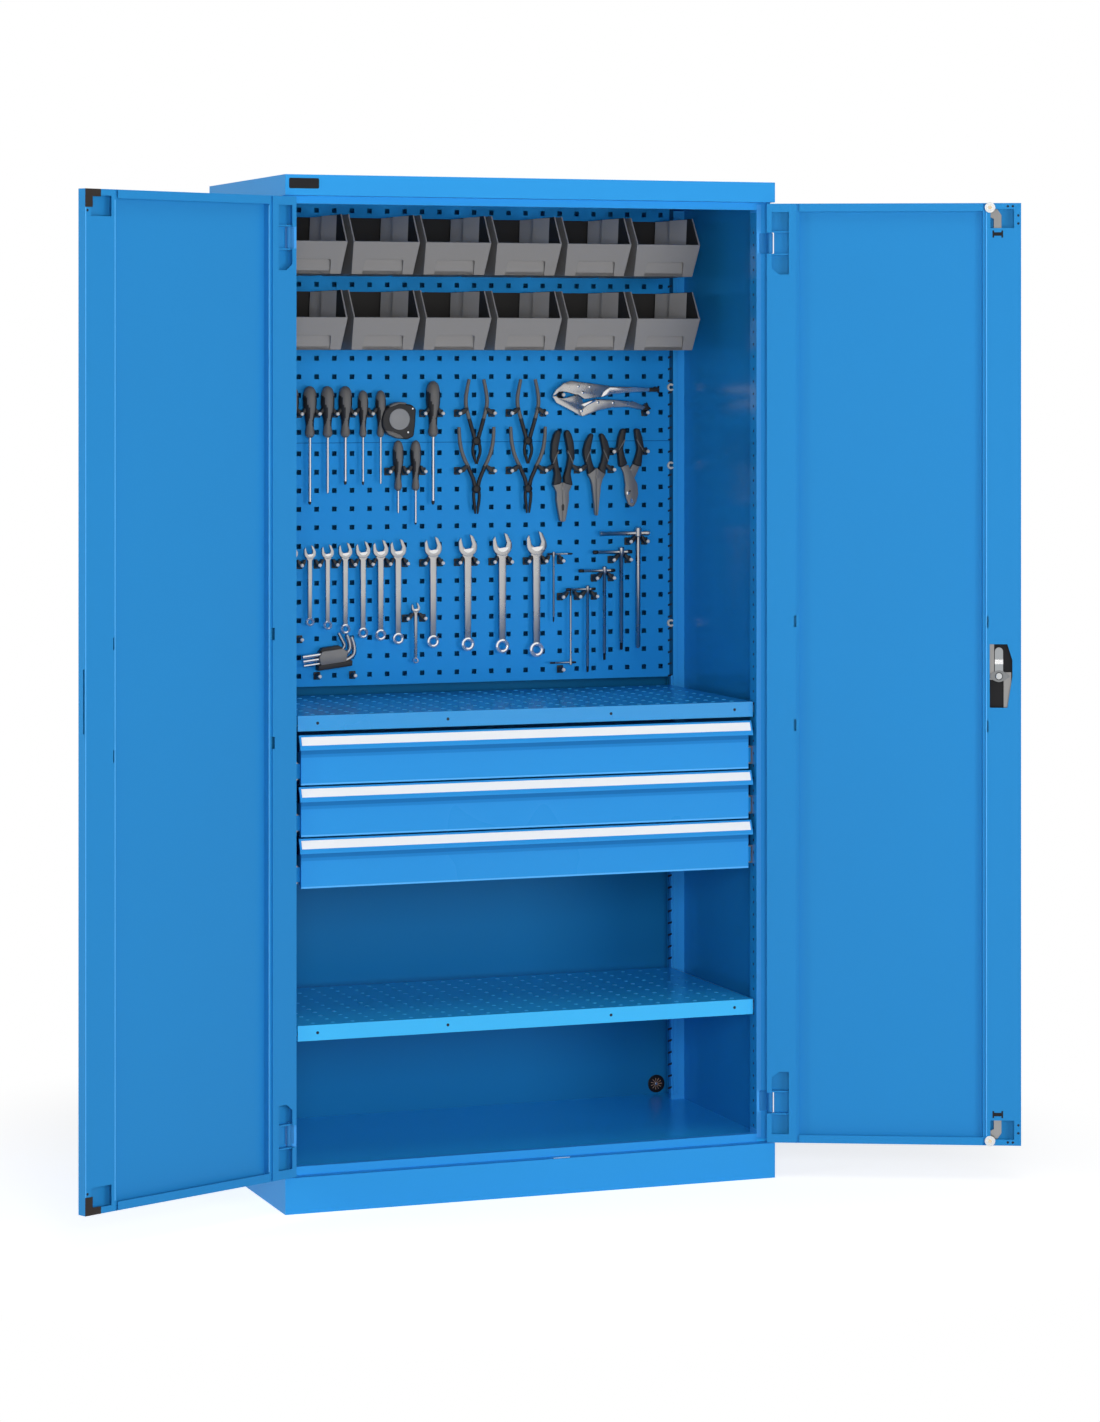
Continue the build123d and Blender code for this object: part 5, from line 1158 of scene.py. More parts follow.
@dataclass
class HandPliers:
    """Pliers hanging by their handles: circlip, combination, needle-nose and slip-joint pliers."""

    handle_half: float = 7.0
    head_half: float = 5.0
    combination: JawShape = JawShape(
        handle=(
            (22.5, 2.1), (26.4, 14.2), (24.6, 43.3), (19.4, 62.6), (13.5, 71.0), (8.0, 71.8), (4.6, 66.0),
            (6.0, 55.4), (10.4, 33.6), (12.5, 14.2), (8.5, -7.6), (2.6, -27.0), (3.4, -40.3), (12.0, -42.6),
            (22.0, -44.6), (17.4, -19.7),
        ),
        inlay=((9.5, 26.0), (14.0, 18.0), (21.5, 1.0), (23.2, 1.6), (16.5, 18.0), (10.0, 29.5)),
        head=(
            (0.0, -38.0), (3.4, -39.0), (21.0, -43.6), (13.6, -58.4), (14.0, -75.4), (10.4, -96.0),
            (6.0, -119.0), (0.0, -121.0),
        ),
        rivets=((0.0, -50.0, 4.6, PLIERS_GREY),),
    )
    needle_nose: JawShape = JawShape(
        handle=(
            (24.0, -0.3), (29.0, 16.6), (29.5, 31.2), (24.6, 48.1), (16.8, 61.4), (10.4, 65.5), (7.0, 60.2),
            (11.2, 43.3), (14.6, 23.9), (10.6, 4.5), (4.6, -10.0), (9.0, -16.0), (19.4, -22.6), (21.0, -10.0),
        ),
        inlay=((14.2, 28.0), (18.0, 20.0), (24.5, 5.0), (26.0, 6.0), (20.0, 21.0), (14.5, 31.5)),
        head=(
            (0.0, -8.0), (5.0, -12.0), (19.6, -22.0), (13.4, -32.0), (9.8, -44.0), (3.0, -107.0),
            (0.6, -109.0), (0.0, -60.0),
        ),
        rivets=((0.0, -27.0, 3.6, PLIERS_GREY),),
    )
    slip_joint: JawShape = JawShape(
        handle=(
            (27.7, -14.0), (30.6, -4.4), (27.0, 17.4), (21.2, 34.0), (15.0, 36.8), (9.6, 34.3), (12.2, 15.0),
            (16.6, -7.0), (12.2, -24.6), (6.5, -38.0), (14.0, -42.6), (24.6, -45.0), (26.4, -28.0),
        ),
        inlay=((13.0, 11.0), (17.0, 4.0), (27.0, -10.0), (28.0, -8.0), (19.0, 6.0), (13.5, 14.5)),
        head=((21.5, -44.0), (6.0, -39.0), (-4.5, -56.0), (-12.0, -68.0), (4.0, -80.0), (15.0, -57.7)),
        rivets=((-6.0, -100.0, 3.6, TOOL_EDGE), (-2.0, -96.0, 2.0, TOOL_DARK)),
        mirror_head=False,
    )
    slip_jaw: tuple[Flat, ...] = (
        (-21.5, -45.0), (-4.7, -40.7), (5.7, -62.5), (16.0, -81.9), (17.8, -101.3), (13.5, -119.0),
        (7.5, -128.0), (2.5, -129.0), (-4.4, -123.1), (-9.8, -108.5), (-12.4, -98.0), (-11.1, -81.9),
        (-15.0, -57.7),
    )

    cutter: tuple[Flat, ...] = ((0.0, -82.0), (3.2, -87.0), (2.4, -97.0), (-2.4, -97.0), (-3.2, -87.0))

    def two_handled(self, shape: JawShape, x: float, z: float, name: str) -> None:
        """Builds one pair of pliers with soft handles.

        Args:
            shape: the outlines.
            x: middle of the pliers.
            z: height of the hooks.
            name: the piece's name.
        """
        at, y = (x, z), GRID.tool_y
        front, back = y - self.handle_half, y + self.handle_half
        shapes = []
        for mirror in (False, True):
            shapes.append(Bench.plate(shape.handle, at, (front, back), GRIP_BLACK, 4.0, 3, mirror))
            shapes.append(Bench.plate(shape.inlay, at, (front - 0.6, y), GRIP_GREY, 0.3, 1, mirror))
            if shape.mirror_head or not mirror:
                half = self.head_half - (0.0 if shape.mirror_head else 1.5)
                shapes.append(Bench.plate(shape.head, at, (y - half, y + half), PLIERS_GREY, 1.4, 2, mirror))
        front = y - self.head_half
        if shape is self.slip_joint:
            shapes.append(Bench.plate(self.slip_jaw, at, (front, y + self.head_half - 3.0), PLIERS_GREY, 1.4))
            # a bright plate in the jaws' opening is a painted highlight
            mouth = arc((3.0, -117.0), 5.0, 200.0, 340.0, 6) + [(1.0, -108.0)]
            shapes.append(Bench.plate(mouth, at, (front - 0.5, y), TOOL_EDGE, 0.3, 1))
        for across, up, radius, finish in shape.rivets:
            stations = [(0.0, radius), (1.2, radius), (1.8, radius * 0.6)]
            shapes.append(Bench.knob(stations, (x + across, front, z + up), finish, 16))
        if shape is self.combination:
            shapes.append(Bench.plate(self.cutter, at, (y - 5.6, y), TOOL_DARK, 0.5, 1))
        Bench.deliver(shapes, name, TOOL_STEEL, "hand_pliers", smooth=40.0)

    def circlip(self, x: float, z: float, wide: bool, name: str) -> None:
        """Builds one pair of circlip pliers with thin bowed handles.

        Args:
            x: middle of the pliers.
            z: height of the hooks.
            wide: whether its handles spread wide.
            name: the piece's name.
        """
        y = GRID.tool_y
        shapes = []
        for side in (-1.0, 1.0):
            if wide:
                top = [(38.5, 79.0), (37.6, 53.0), (33.0, 30.0), (26.5, 12.0), (18.5, -3.0)]
                low = [(18.5, -3.0), (12.0, -18.0), (6.0, -31.0), (3.0, -46.0)]
                jaw = [(3.0, -47.0), (6.5, -56.0), (6.0, -72.0), (3.2, -90.0), (2.6, -101.5)]
            else:
                top = [(16.0, 58.2), (22.5, 29.8), (24.0, 8.0), (20.0, -10.0), (16.0, -23.5)]
                low = [(16.0, -23.5), (9.0, -47.7), (3.5, -64.6), (5.5, -75.0)]
                jaw = [(5.0, -72.0), (8.8, -84.0), (7.4, -98.0), (3.0, -108.0), (1.6, -118.0)]
            for line, finish, radius, ends in (
                (top, GRIP_GREY, 4.0, (0.85, 1.0)),
                (low, GRIP_BLACK, 4.2, (1.0, 1.1)),
                (jaw, TOOL_BLACK, 3.2, (1.1, 0.5)),
            ):
                points = [(x + side * across, y, z + up) for across, up in line]
                shapes.append(Bench.coat(Bench.bent_bar(points, radius, ends, 3), finish))
        joint_z = z + (-50.0 if wide else -70.0)
        joint = [(0.0, 8.5), (9.0, 8.5), (10.5, 7.0)]
        shapes.append(Bench.knob(joint, (x, y + 5.0, joint_z), TOOL_BLACK, 20))
        Bench.deliver(shapes, name, TOOL_STEEL, "hand_pliers", smooth=60.0)

    def build(self) -> None:
        """Builds all the pliers in their places."""
        for number, column in enumerate((13, 16), 1):
            self.circlip(GRID.x(column), GRID.rest(UPPER, 1), False, f"circlip_pliers_upper_{number}")
            self.circlip(GRID.x(column), GRID.rest(LOWER, 11), True, f"circlip_pliers_lower_{number}")
        self.two_handled(self.combination, GRID.x(18), GRID.rest(LOWER, 11), "combination_pliers")
        self.two_handled(self.needle_nose, GRID.x(20), GRID.rest(LOWER, 11), "needle_nose_pliers")
        self.two_handled(self.slip_joint, GRID.x(22), GRID.rest(LOWER, 12), "slip_joint_pliers")


@dataclass
class LockingPliers:
    """Locking pliers lying on two pegs, with an oval mouth round the left one."""

    half: float = 5.5
    upper_jaw: tuple[Flat, ...] = (
        (-23.0, -2.0), (-15.0, 11.0), (2.0, 24.5), (19.0, 29.5), (28.0, 28.0), (64.0, 23.5), (106.0, 18.0),
        (108.0, -1.0), (60.0, -8.0), (48.0, -9.0), (34.0, 0.0), (28.0, 0.5), (10.0, 5.5), (0.0, 6.5),
        (-9.0, 5.0), (-14.0, 0.5),
    )
    lower_jaw: tuple[Flat, ...] = (
        (-23.0, -3.5), (-14.0, -17.0), (7.0, -27.0), (25.0, -36.0), (41.0, -45.0), (50.0, -30.0),
        (44.0, -10.0), (34.0, -1.0), (28.0, -1.5), (12.0, -5.5), (0.0, -7.5), (-9.0, -6.0), (-14.0, -1.5),
    )
    upper_handle: tuple[Flat, ...] = (
        (104.0, 17.6), (150.0, 16.5), (195.0, 15.0), (195.0, 6.5), (150.0, 4.5), (120.0, 2.0), (104.0, 1.0),
        (84.0, -6.0), (92.0, 8.0),
    )
    lower_handle: tuple[Flat, ...] = (
        (38.0, -36.0), (60.0, -15.0), (74.0, -9.5), (118.0, -11.0), (160.0, -15.0), (187.0, -26.0),
        (180.0, -33.0), (148.0, -26.0), (112.0, -27.0), (80.0, -33.0), (54.0, -43.0), (42.0, -46.0),
    )
    release: tuple[Flat, ...] = ((40.0, -20.0), (76.0, -8.0), (72.0, -15.0), (48.0, -26.0))
    screw: tuple[Flat, ...] = (
        (194.0, 5.5), (215.0, 6.0), (217.5, 2.0), (218.0, 18.5), (214.0, 14.0), (208.0, 17.0), (204.0, 14.0),
        (194.0, 15.0),
    )
    cap: tuple[Flat, ...] = (
        (178.0, -33.0), (184.0, -21.0), (190.0, -17.0), (193.0, -24.0), (199.0, -30.0), (194.0, -33.0),
    )
    rivets: tuple[Flat, ...] = (
        (44.0, 4.5), (78.0, -16.0), (41.0, -34.0), (112.0, -17.0), (34.0, 18.0), (60.0, 17.0),
    )

    def build(self) -> None:
        """Builds the plates, handles, rivets and end pieces as one piece."""
        x, z = at = GRID.x(18), GRID.z(UPPER, 2)
        y = GRID.tool_y
        shapes = []
        for outline, extra, bevel, finish in (
            (self.upper_jaw, 0.0, 1.2, TOOL_STEEL), (self.lower_jaw, -1.2, 1.2, TOOL_STEEL),
            (self.upper_handle, 1.0, 2.4, TOOL_EDGE), (self.lower_handle, 1.0, 2.4, TOOL_STEEL),
            (self.release, 2.0, 2.4, TOOL_EDGE), (self.screw, -1.0, 1.2, TOOL_BLACK),
            (self.cap, 0.0, 1.2, TOOL_BLACK),
        ):
            half = self.half + extra
            shapes.append(Bench.plate(outline, at, (y - half, y + half), finish, bevel))
        for across, up in self.rivets:
            spot = (x + across, y - self.half, z + up)
            shapes.append(Bench.knob([(0.0, 3.4), (1.0, 3.2), (2.2, 1.6)], spot, TOOL_EDGE))
        Bench.deliver(shapes, "locking_pliers_body", TOOL_STEEL, "locking_pliers", smooth=40.0)


# ---------------------------------------------------------------- spanners
@dataclass(frozen=True)
class Spanner:
    """One combination spanner: its hooks, length and head width."""

    column: float
    row: tuple[str, float]
    length: float
    head: float


@dataclass
class Spanners:
    """Combination spanners hanging by their open ends, from small to large."""

    spanners: tuple[Spanner, ...] = (
        Spanner(2, (LOWER, 6), 158.0, 24.0), Spanner(3, (LOWER, 6), 166.0, 25.0),
        Spanner(4, (LOWER, 6), 175.0, 26.0), Spanner(5, (LOWER, 6), 188.0, 29.0),
        Spanner(6, (LOWER, 6), 200.0, 31.0), Spanner(7, (LOWER, 6), 208.0, 33.0),
        Spanner(8, (LOWER, 6), 218.0, 34.0), Spanner(10, (LOWER, 6), 230.0, 37.0),
        Spanner(12, (LOWER, 6), 242.0, 40.0), Spanner(14, (LOWER, 6), 251.0, 42.0),
        Spanner(16, (LOWER, 6), 263.0, 44.0), Spanner(9, (LOWER, 3), 126.0, 18.0),
    )
    tilt: float = 15.0
    jaw_half: float = 0.25
    thickness: float = 6.0

    def head(self, width: float) -> list[Flat]:
        """Outline of the open end about the middle of its round part.

        Args:
            width: width of the head.

        Returns:
            The outline with its mouth turned to the left.
        """
        half = width / 2
        jaw = width * self.jaw_half
        tip = width * 0.60
        outline = [
            (jaw, tip), (jaw, 0.08 * width), (0.5 * jaw, -0.12 * width), (-0.5 * jaw, -0.12 * width),
            (-jaw, 0.08 * width), (-jaw, tip * 0.94),
        ]
        shoulder = half * 0.82
        outline += [(-shoulder, tip * 0.72)] + arc(ORIGIN, half, 165.0, 375.0, 16) + [(shoulder, tip * 0.78)]
        turn = radians(self.tilt)
        return [(x * cos(turn) - z * sin(turn), x * sin(turn) + z * cos(turn)) for x, z in outline]

    def build(self) -> None:
        """Builds each spanner as one piece."""
        y, half = GRID.tool_y, self.thickness / 2
        for number, item in enumerate(self.spanners, 1):
            x, rest, width = GRID.x(item.column + 0.5), GRID.rest(*item.row), item.head
            centre = rest + width * 0.5
            ring_radius = width * 0.27
            ring_z = rest + width * 1.1 - item.length + width * 0.4
            neck, foot = width * 0.19, width * 0.16
            neck_z, head_z, ring_top = centre - width * 0.62, centre - width * 0.42, ring_z + ring_radius
            shank = [
                (-foot, ring_top), (-neck, neck_z), (-neck * 1.7, head_z),
                (neck * 1.7, head_z), (neck, neck_z), (foot, ring_top),
            ]
            rim = arc(ORIGIN, width * 0.31, 205.0, 350.0, 8)
            bevel = min(1.3, width * 0.045)
            # the ring is the spanner's chrome, made brighter than the head as a painted highlight
            shapes = [
                Bench.plate(self.head(width), (x, centre), (y - half, y + half), TOOL_STEEL, bevel),
                Bench.plate(rim, (x, centre), (y - half - 0.4, y), TOOL_EDGE, 0.2, 1),
                Bench.plate(shank, (x, 0.0), (y - half + 0.6, y + half - 0.6), TOOL_STEEL, 1.1),
                Bench.coat(Bench.ring(ring_radius, width * 0.20, self.thickness + 2.5), TOOL_HIGHLIGHT),
            ]
            Bench.place(shapes[-1], (x, y, ring_z))
            Bench.deliver(shapes, f"spanner_{number}", TOOL_STEEL, "combination_spanners", smooth=40.0)


@dataclass(frozen=True)
class SlidingKey:
    """One T-handle key: hooks, bar reach to the left and right, shaft length and thickness."""

    column: float
    row: tuple[str, float]
    left: float
    right: float
    shaft: float
    thickness: float
    dark_tip: float


@dataclass
class SlidingKeys:
    """Keys with a sliding cross bar, hung by the bar; the last one hangs upside down."""

    keys: tuple[SlidingKey, ...] = (
        SlidingKey(17, (LOWER, 6), 14.0, 42.0, 142.0, 4.0, 10.0),
        SlidingKey(19, (LOWER, 4), 48.0, 18.0, 174.0, 6.0, 12.0),
        SlidingKey(20, (LOWER, 5), 58.0, 24.0, 188.0, 7.0, 14.0),
        SlidingKey(21, (LOWER, 6), 64.0, 24.0, 206.0, 8.0, 15.0),
        SlidingKey(22, (LOWER, 7), 87.0, 26.0, 242.0, 10.0, 0.0),
        SlidingKey(18, (LOWER, 0), 46.0, 12.0, 150.0, 4.0, 10.0),
    )
    cap_length: float = 11.0

    def build(self) -> None:
        """Builds each key from its bar, hub and shaft."""
        y, cap = GRID.tool_y, self.cap_length
        for number, key in enumerate(self.keys, 1):
            radius = key.thickness / 2
            spot = (GRID.x(key.column + 0.5), y, GRID.rest(*key.row) + radius)
            span = key.left + key.right
            waist = radius * 0.86
            bar = Bench.rod([
                (0.0, radius * 0.7), (1.0, radius), (cap, radius), (cap + 0.6, waist),
                (span - cap - 0.6, waist), (span - cap, radius), (span - 1.0, radius), (span, radius * 0.7),
            ], 14)
            Bench.coat(bar, TOOL_STEEL)
            if key.dark_tip:
                Bench.paint(bar, TOOL_BLACK, lambda middle, span=span: min(middle.z, span - middle.z) < cap)
            Bench.place(bar, (spot[0] - key.left, y, spot[2]), (0.0, 90.0, 0.0))
            step = -key.shaft + max(key.dark_tip, 3.0)
            shaft = Bench.rod([
                (-key.shaft, radius * 0.6), (-key.shaft + 2.0, radius * 0.8), (step, radius * 0.8),
                (step + 1.0, radius), (-8.0, radius), (-6.0, radius * 1.5), (radius * 2.2, radius * 1.5),
                (radius * 2.6, radius),
            ], 14)
            Bench.coat(shaft, TOOL_STEEL)
            Bench.paint(shaft, TOOL_BLACK, lambda middle, key=key: middle.z < -key.shaft + key.dark_tip)
            Bench.place(shaft, spot, (180.0 if key.row == (LOWER, 0) else 0.0, 0.0, 0.0))
            Bench.deliver([bar, shaft], f"sliding_key_{number}", TOOL_STEEL, "t_handle_keys", smooth=50.0)


@dataclass
class HexKeySet:
    """Folding-stand set of angled hexagon keys resting on two pegs."""

    tilt: float = 7.0
    holder: tuple[Flat, ...] = ((2.0, 5.0), (56.0, 5.0), (63.0, 26.0), (52.0, 34.0), (8.0, 34.0), (0.0, 22.0))
    base: tuple[Flat, ...] = ((-6.0, -4.0), (68.0, -4.0), (70.0, 7.0), (-3.0, 7.0))
    top: tuple[Flat, ...] = ((2.0, 33.0), (10.0, 41.0), (46.0, 41.0), (54.0, 33.0))
    rods: tuple[Flat, ...] = ((28.0, 4.0), (18.5, 3.4), (9.5, 3.0))
    rod_reach: Spot = (-33.0, -20.0, 5.0)
    keys: tuple[tuple[Spot, ...], ...] = (
        ((50.0, 30.0, 3.4), (61.0, 36.0, 3.4), (55.0, 50.0, 3.0), (49.0, 66.0, 2.6)),
        ((54.0, 18.0, 4.2), (70.0, 26.0, 4.2), (70.0, 44.0, 3.6), (66.0, 60.0, 3.0)),
        ((56.0, 8.0, 4.6), (76.0, 12.0, 4.6), (80.0, 34.0, 4.2), (75.0, 54.0, 3.2)),
    )

    def build(self) -> None:
        """Builds the holder, its rods and the three angled keys."""
        x = GRID.x(4) + 1.0
        z = GRID.rest(LOWER, 0) + 4.0
        y = GRID.tool_y
        turn = radians(self.tilt)

        def set_at(across: float, up: float) -> Flat:
            """A point of the tilted holder."""
            return x + across * cos(turn) - up * sin(turn), z + across * sin(turn) + up * cos(turn)

        shapes = []
        for outline, half, finish in (
            (self.holder, 10.0, PLIERS_GREY), (self.base, 11.0, GRIP_BLACK), (self.top, 8.5, GRIP_BLACK),
        ):
            plate = Bench.upright([set_at(*corner) for corner in outline], y - half, y + half, 1.5, 2)
            shapes.append(Bench.coat(plate, finish))
        bars = []
        for up, radius in self.rods:
            bars.append(([(across, up) for across in self.rod_reach], 3.0, radius, TOOL_EDGE))
        for key in self.keys:
            bars.append(([(across, up) for across, up, _ in key], 2.0, key[0][2], TOOL_STEEL))
        for line, forward, radius, finish in bars:
            points = [(across, y - forward, up) for across, up in (set_at(*point) for point in line)]
            shapes.append(Bench.coat(Bench.bent_bar(points, radius, (1.0, 1.0), 3), finish))
        Bench.deliver(shapes, "hex_key_holder", GRIP_BLACK, "hex_key_set", smooth=45.0)


# ---------------------------------------------------------------- body details
@dataclass
class SmallHoles:
    """Dark plates of painted shade for the uprights' slots and the stiles' columns of holes, and painted shade on
    the stiles' inner faces.
    """

    pitch: float = 25.0
    slot: Flat = (9.0, 4.5)
    slot_lean: float = 1.2
    slots_from_wall: float = 22.5
    proud: float = 0.25
    stile_hole: Flat = (4.2, 4.6)
    stile_holes_y: float = -237.0
    stile_depths: Flat = (-251.0, -220.0)
    bottom: float = 100.0
    top: float = 1935.0
    margin: float = 5.0

    def column(self, pattern: Piece) -> Piece:
        """Repeats a hole up the whole height of the opening."""
        return Bench.row(pattern, int((self.top - self.bottom) / self.pitch), (0.0, 0.0, self.pitch))

    def build(self) -> None:
        """Builds the painted shade of the slots and of the stiles' holes, and the stiles' shaded inner faces, as
        three pieces.
        """
        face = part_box("rear_uprights")[0].y / MM
        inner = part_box("right_side_wall")[0].x / MM
        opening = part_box("top_front_rail")[1].x / MM
        wide, tall = (side / 2 for side in self.slot)
        deep, high = (side / 2 for side in self.stile_hole)
        y, bottom, lean, margin = self.stile_holes_y, self.bottom, self.slot_lean, self.margin
        slots, holes, shades = [], [], []
        for side in (-1.0, 1.0):
            x = side * (inner - self.slots_from_wall)
            # dark plates of painted shade stand for the slots
            outline = [
                (x - wide, bottom - tall - lean), (x + wide, bottom - tall + lean),
                (x + wide, bottom + tall + lean), (x - wide, bottom + tall - lean),
            ]
            slots.append(self.column(Bench.upright(outline, face - self.proud, face, 0.1, 1)))
            # dark discs of painted shade stand for the holes; strips of darker blue are painted shade on the
            # stiles' inner faces
            for kept, outline, proud in (
                (holes, rectangle(y - deep, y + deep, bottom - high, bottom + high), self.proud * 2),
                (shades, rectangle(*self.stile_depths, bottom - margin, self.top + margin), self.proud),
            ):
                corners = [(side * opening, depth, height) for depth, height in outline]
                kept.append(Bench.slab(corners, (-side * proud, 0.0, 0.0), 0.05, 1))
            self.column(holes[-1])
        Bench.deliver(slots, "upright_slots", SHADOW_BLACK)
        Bench.deliver(holes, "stile_hole_columns", SHADOW_BLACK)
        Bench.deliver(shades, "stile_inner_face_shade", WALL_SHADED_BLUE)


@dataclass
class UprightFolds:
    """Raised folds along the rear uprights, beside their slots."""

    from_wall: Flat = (5.5, 16.0)
    rise: float = 3.5
    bottom: float = 86.0
    top: float = 1945.0

    def build(self) -> None:
        """Builds both folds as one piece."""
        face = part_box("rear_uprights")[0].y / MM
        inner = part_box("right_side_wall")[0].x / MM
        near, far = self.from_wall
        folds = []
        for side in (-1.0, 1.0):
            outline = rectangle(side * (inner - far), side * (inner - near), self.bottom, self.top)
            folds.append(Bench.upright(outline, face - self.rise, face, 1.2, 2))
        Bench.deliver(folds, "upright_folds", CARCASS_BLUE)


@dataclass
class PanelGaps:
    """Shaded gaps round the perforated panels: the seam between them and the strips beside them."""

    seam: float = 1.6
    beside: Flat = (0.5, 9.0)
    proud: float = 0.3
    bottom: float = 975.0

    def build(self) -> None:
        """Builds the seam and the two strips as one piece."""
        low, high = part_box("lower_pegboard")
        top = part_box("upper_pegboard")[1].z / MM
        face, edge, level = low.y / MM, high.x / MM, high.z / MM
        half, (near, far) = self.seam / 2, self.beside
        seam = rectangle(-edge, edge, level - half, level + half)
        shapes = [Bench.plate(seam, ORIGIN, (face - self.proud, face), SEAM_BLUE, 0.1, 1)]
        for side in (-1.0, 1.0):
            strip = rectangle(side * (edge + near), side * (edge + far), self.bottom, top)
            shapes.append(Bench.plate(strip, ORIGIN, (face - self.proud * 0.5, face), GAP_BLUE, 0.1, 1))
        Bench.deliver(shapes, "panel_gaps", SEAM_BLUE)


@dataclass
class ShelfPattern:
    """Low round bosses pressed up in both shelves, lighter than the shelves as a painted highlight."""

    pitch: float = 40.0
    radius: float = 5.0
    rise: float = 1.1
    margin: float = 20.0

    def build(self) -> None:
        """Builds one boss and repeats it over each shelf."""
        for name in ("upper_shelf", "lower_shelf"):
            low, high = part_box(name)
            wide = (high.x - low.x) / MM - 2 * self.margin
            deep = (high.y - low.y) / MM - 2 * self.margin
            across, along = int(wide / self.pitch) + 1, int(deep / self.pitch) + 1
            start_x = (low.x + high.x) / 2 / MM - (across - 1) * self.pitch / 2
            start_y = low.y / MM + self.margin + (deep - (along - 1) * self.pitch) / 2
            radius, rise = self.radius, self.rise
            boss = Bench.rod([(0.0, radius), (rise * 0.6, radius * 0.8), (rise, radius * 0.4)], 10)
            Bench.place(boss, (start_x, start_y, high.z / MM - 0.02))
            Bench.row(Bench.row(boss, across, (self.pitch, 0.0, 0.0)), along, (0.0, self.pitch, 0.0))
            Bench.deliver([boss], f"{name}_bosses", BOSS_HIGHLIGHT_BLUE, smooth=60.0)


@dataclass
class BlankPlate:
    """Blank black plate on the hood's front."""

    size: Flat = (60.0, 20.0)
    at: Flat = (-474.0, 1983.0)
    thickness: float = 1.4
    corner: float = 2.5

    def build(self) -> None:
        """Builds the rounded plate."""
        wide, tall = (side / 2 for side in self.size)
        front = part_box("roof_hood")[0].y / MM
        outline = []
        for start, (x, z) in enumerate(((wide, tall), (-wide, tall), (-wide, -tall), (wide, -tall))):
            centre = (x - self.corner * (1 if x > 0 else -1), z - self.corner * (1 if z > 0 else -1))
            outline += arc(centre, self.corner, 90.0 * start, 90.0 * (start + 1), 4)
        plate = Bench.plate(outline, self.at, (front - self.thickness, front), BLACK_PLASTIC, 0.5)
        Bench.deliver([plate], "blank_plate", BLACK_PLASTIC)


@dataclass
class CableGrommet:
    """Black grommet whose membrane shows its narrow slits as plates of painted light."""

    flange: float = 19.0
    thickness: float = 3.0
    slits: int = 11
    slit: tuple[float, float, float] = (3.2, 12.5, 1.7)  # from, to, width
    middle: float = 2.6
    membrane: float = 1.4

    def build(self) -> None:
        """Builds the ring and membrane, the slits as plates of painted light and the middle as a bright disc of
        painted light.
        """
        low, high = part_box("cable_grommet")
        x, z = (low.x + high.x) / 2 / MM, (low.z + high.z) / 2 / MM
        front, rim, rise = low.y / MM, self.flange, self.thickness
        sunk = rise - self.membrane
        stations = [
            (0.0, rim), (rise - 1.2, rim), (rise - 0.2, rim - 2.0), (rise - 0.2, rim - 4.5),
            (sunk, rim - 5.5), (sunk, 1.0),
        ]
        shapes = [Bench.knob(stations, (x, front + rise, z), BLACK_PLASTIC, 36)]
        spot = (x, front + self.membrane, z)
        start, end, width = self.slit
        outline = [(start, -width * 0.3), (end, -width / 2), (end, width / 2), (start, width * 0.3)]
        # each slit is a light plate of painted light on the membrane
        for number in range(self.slits):
            slit = Bench.coat(Bench.upright(outline, -0.25, 0.0, 0.05, 1), SLIT_PAINTED_LIGHT)
            shapes.append(Bench.place(slit, spot, (0.0, 360.0 * number / self.slits, 0.0)))
        # the middle is a bright disc of painted light
        stations = [(0.0, self.middle), (0.2, self.middle), (0.4, self.middle * 0.8)]
        shapes.append(Bench.knob(stations, spot, TOOL_HIGHLIGHT, 12))
        Bench.deliver(shapes, "grommet_ring", BLACK_PLASTIC, "cable_grommet")


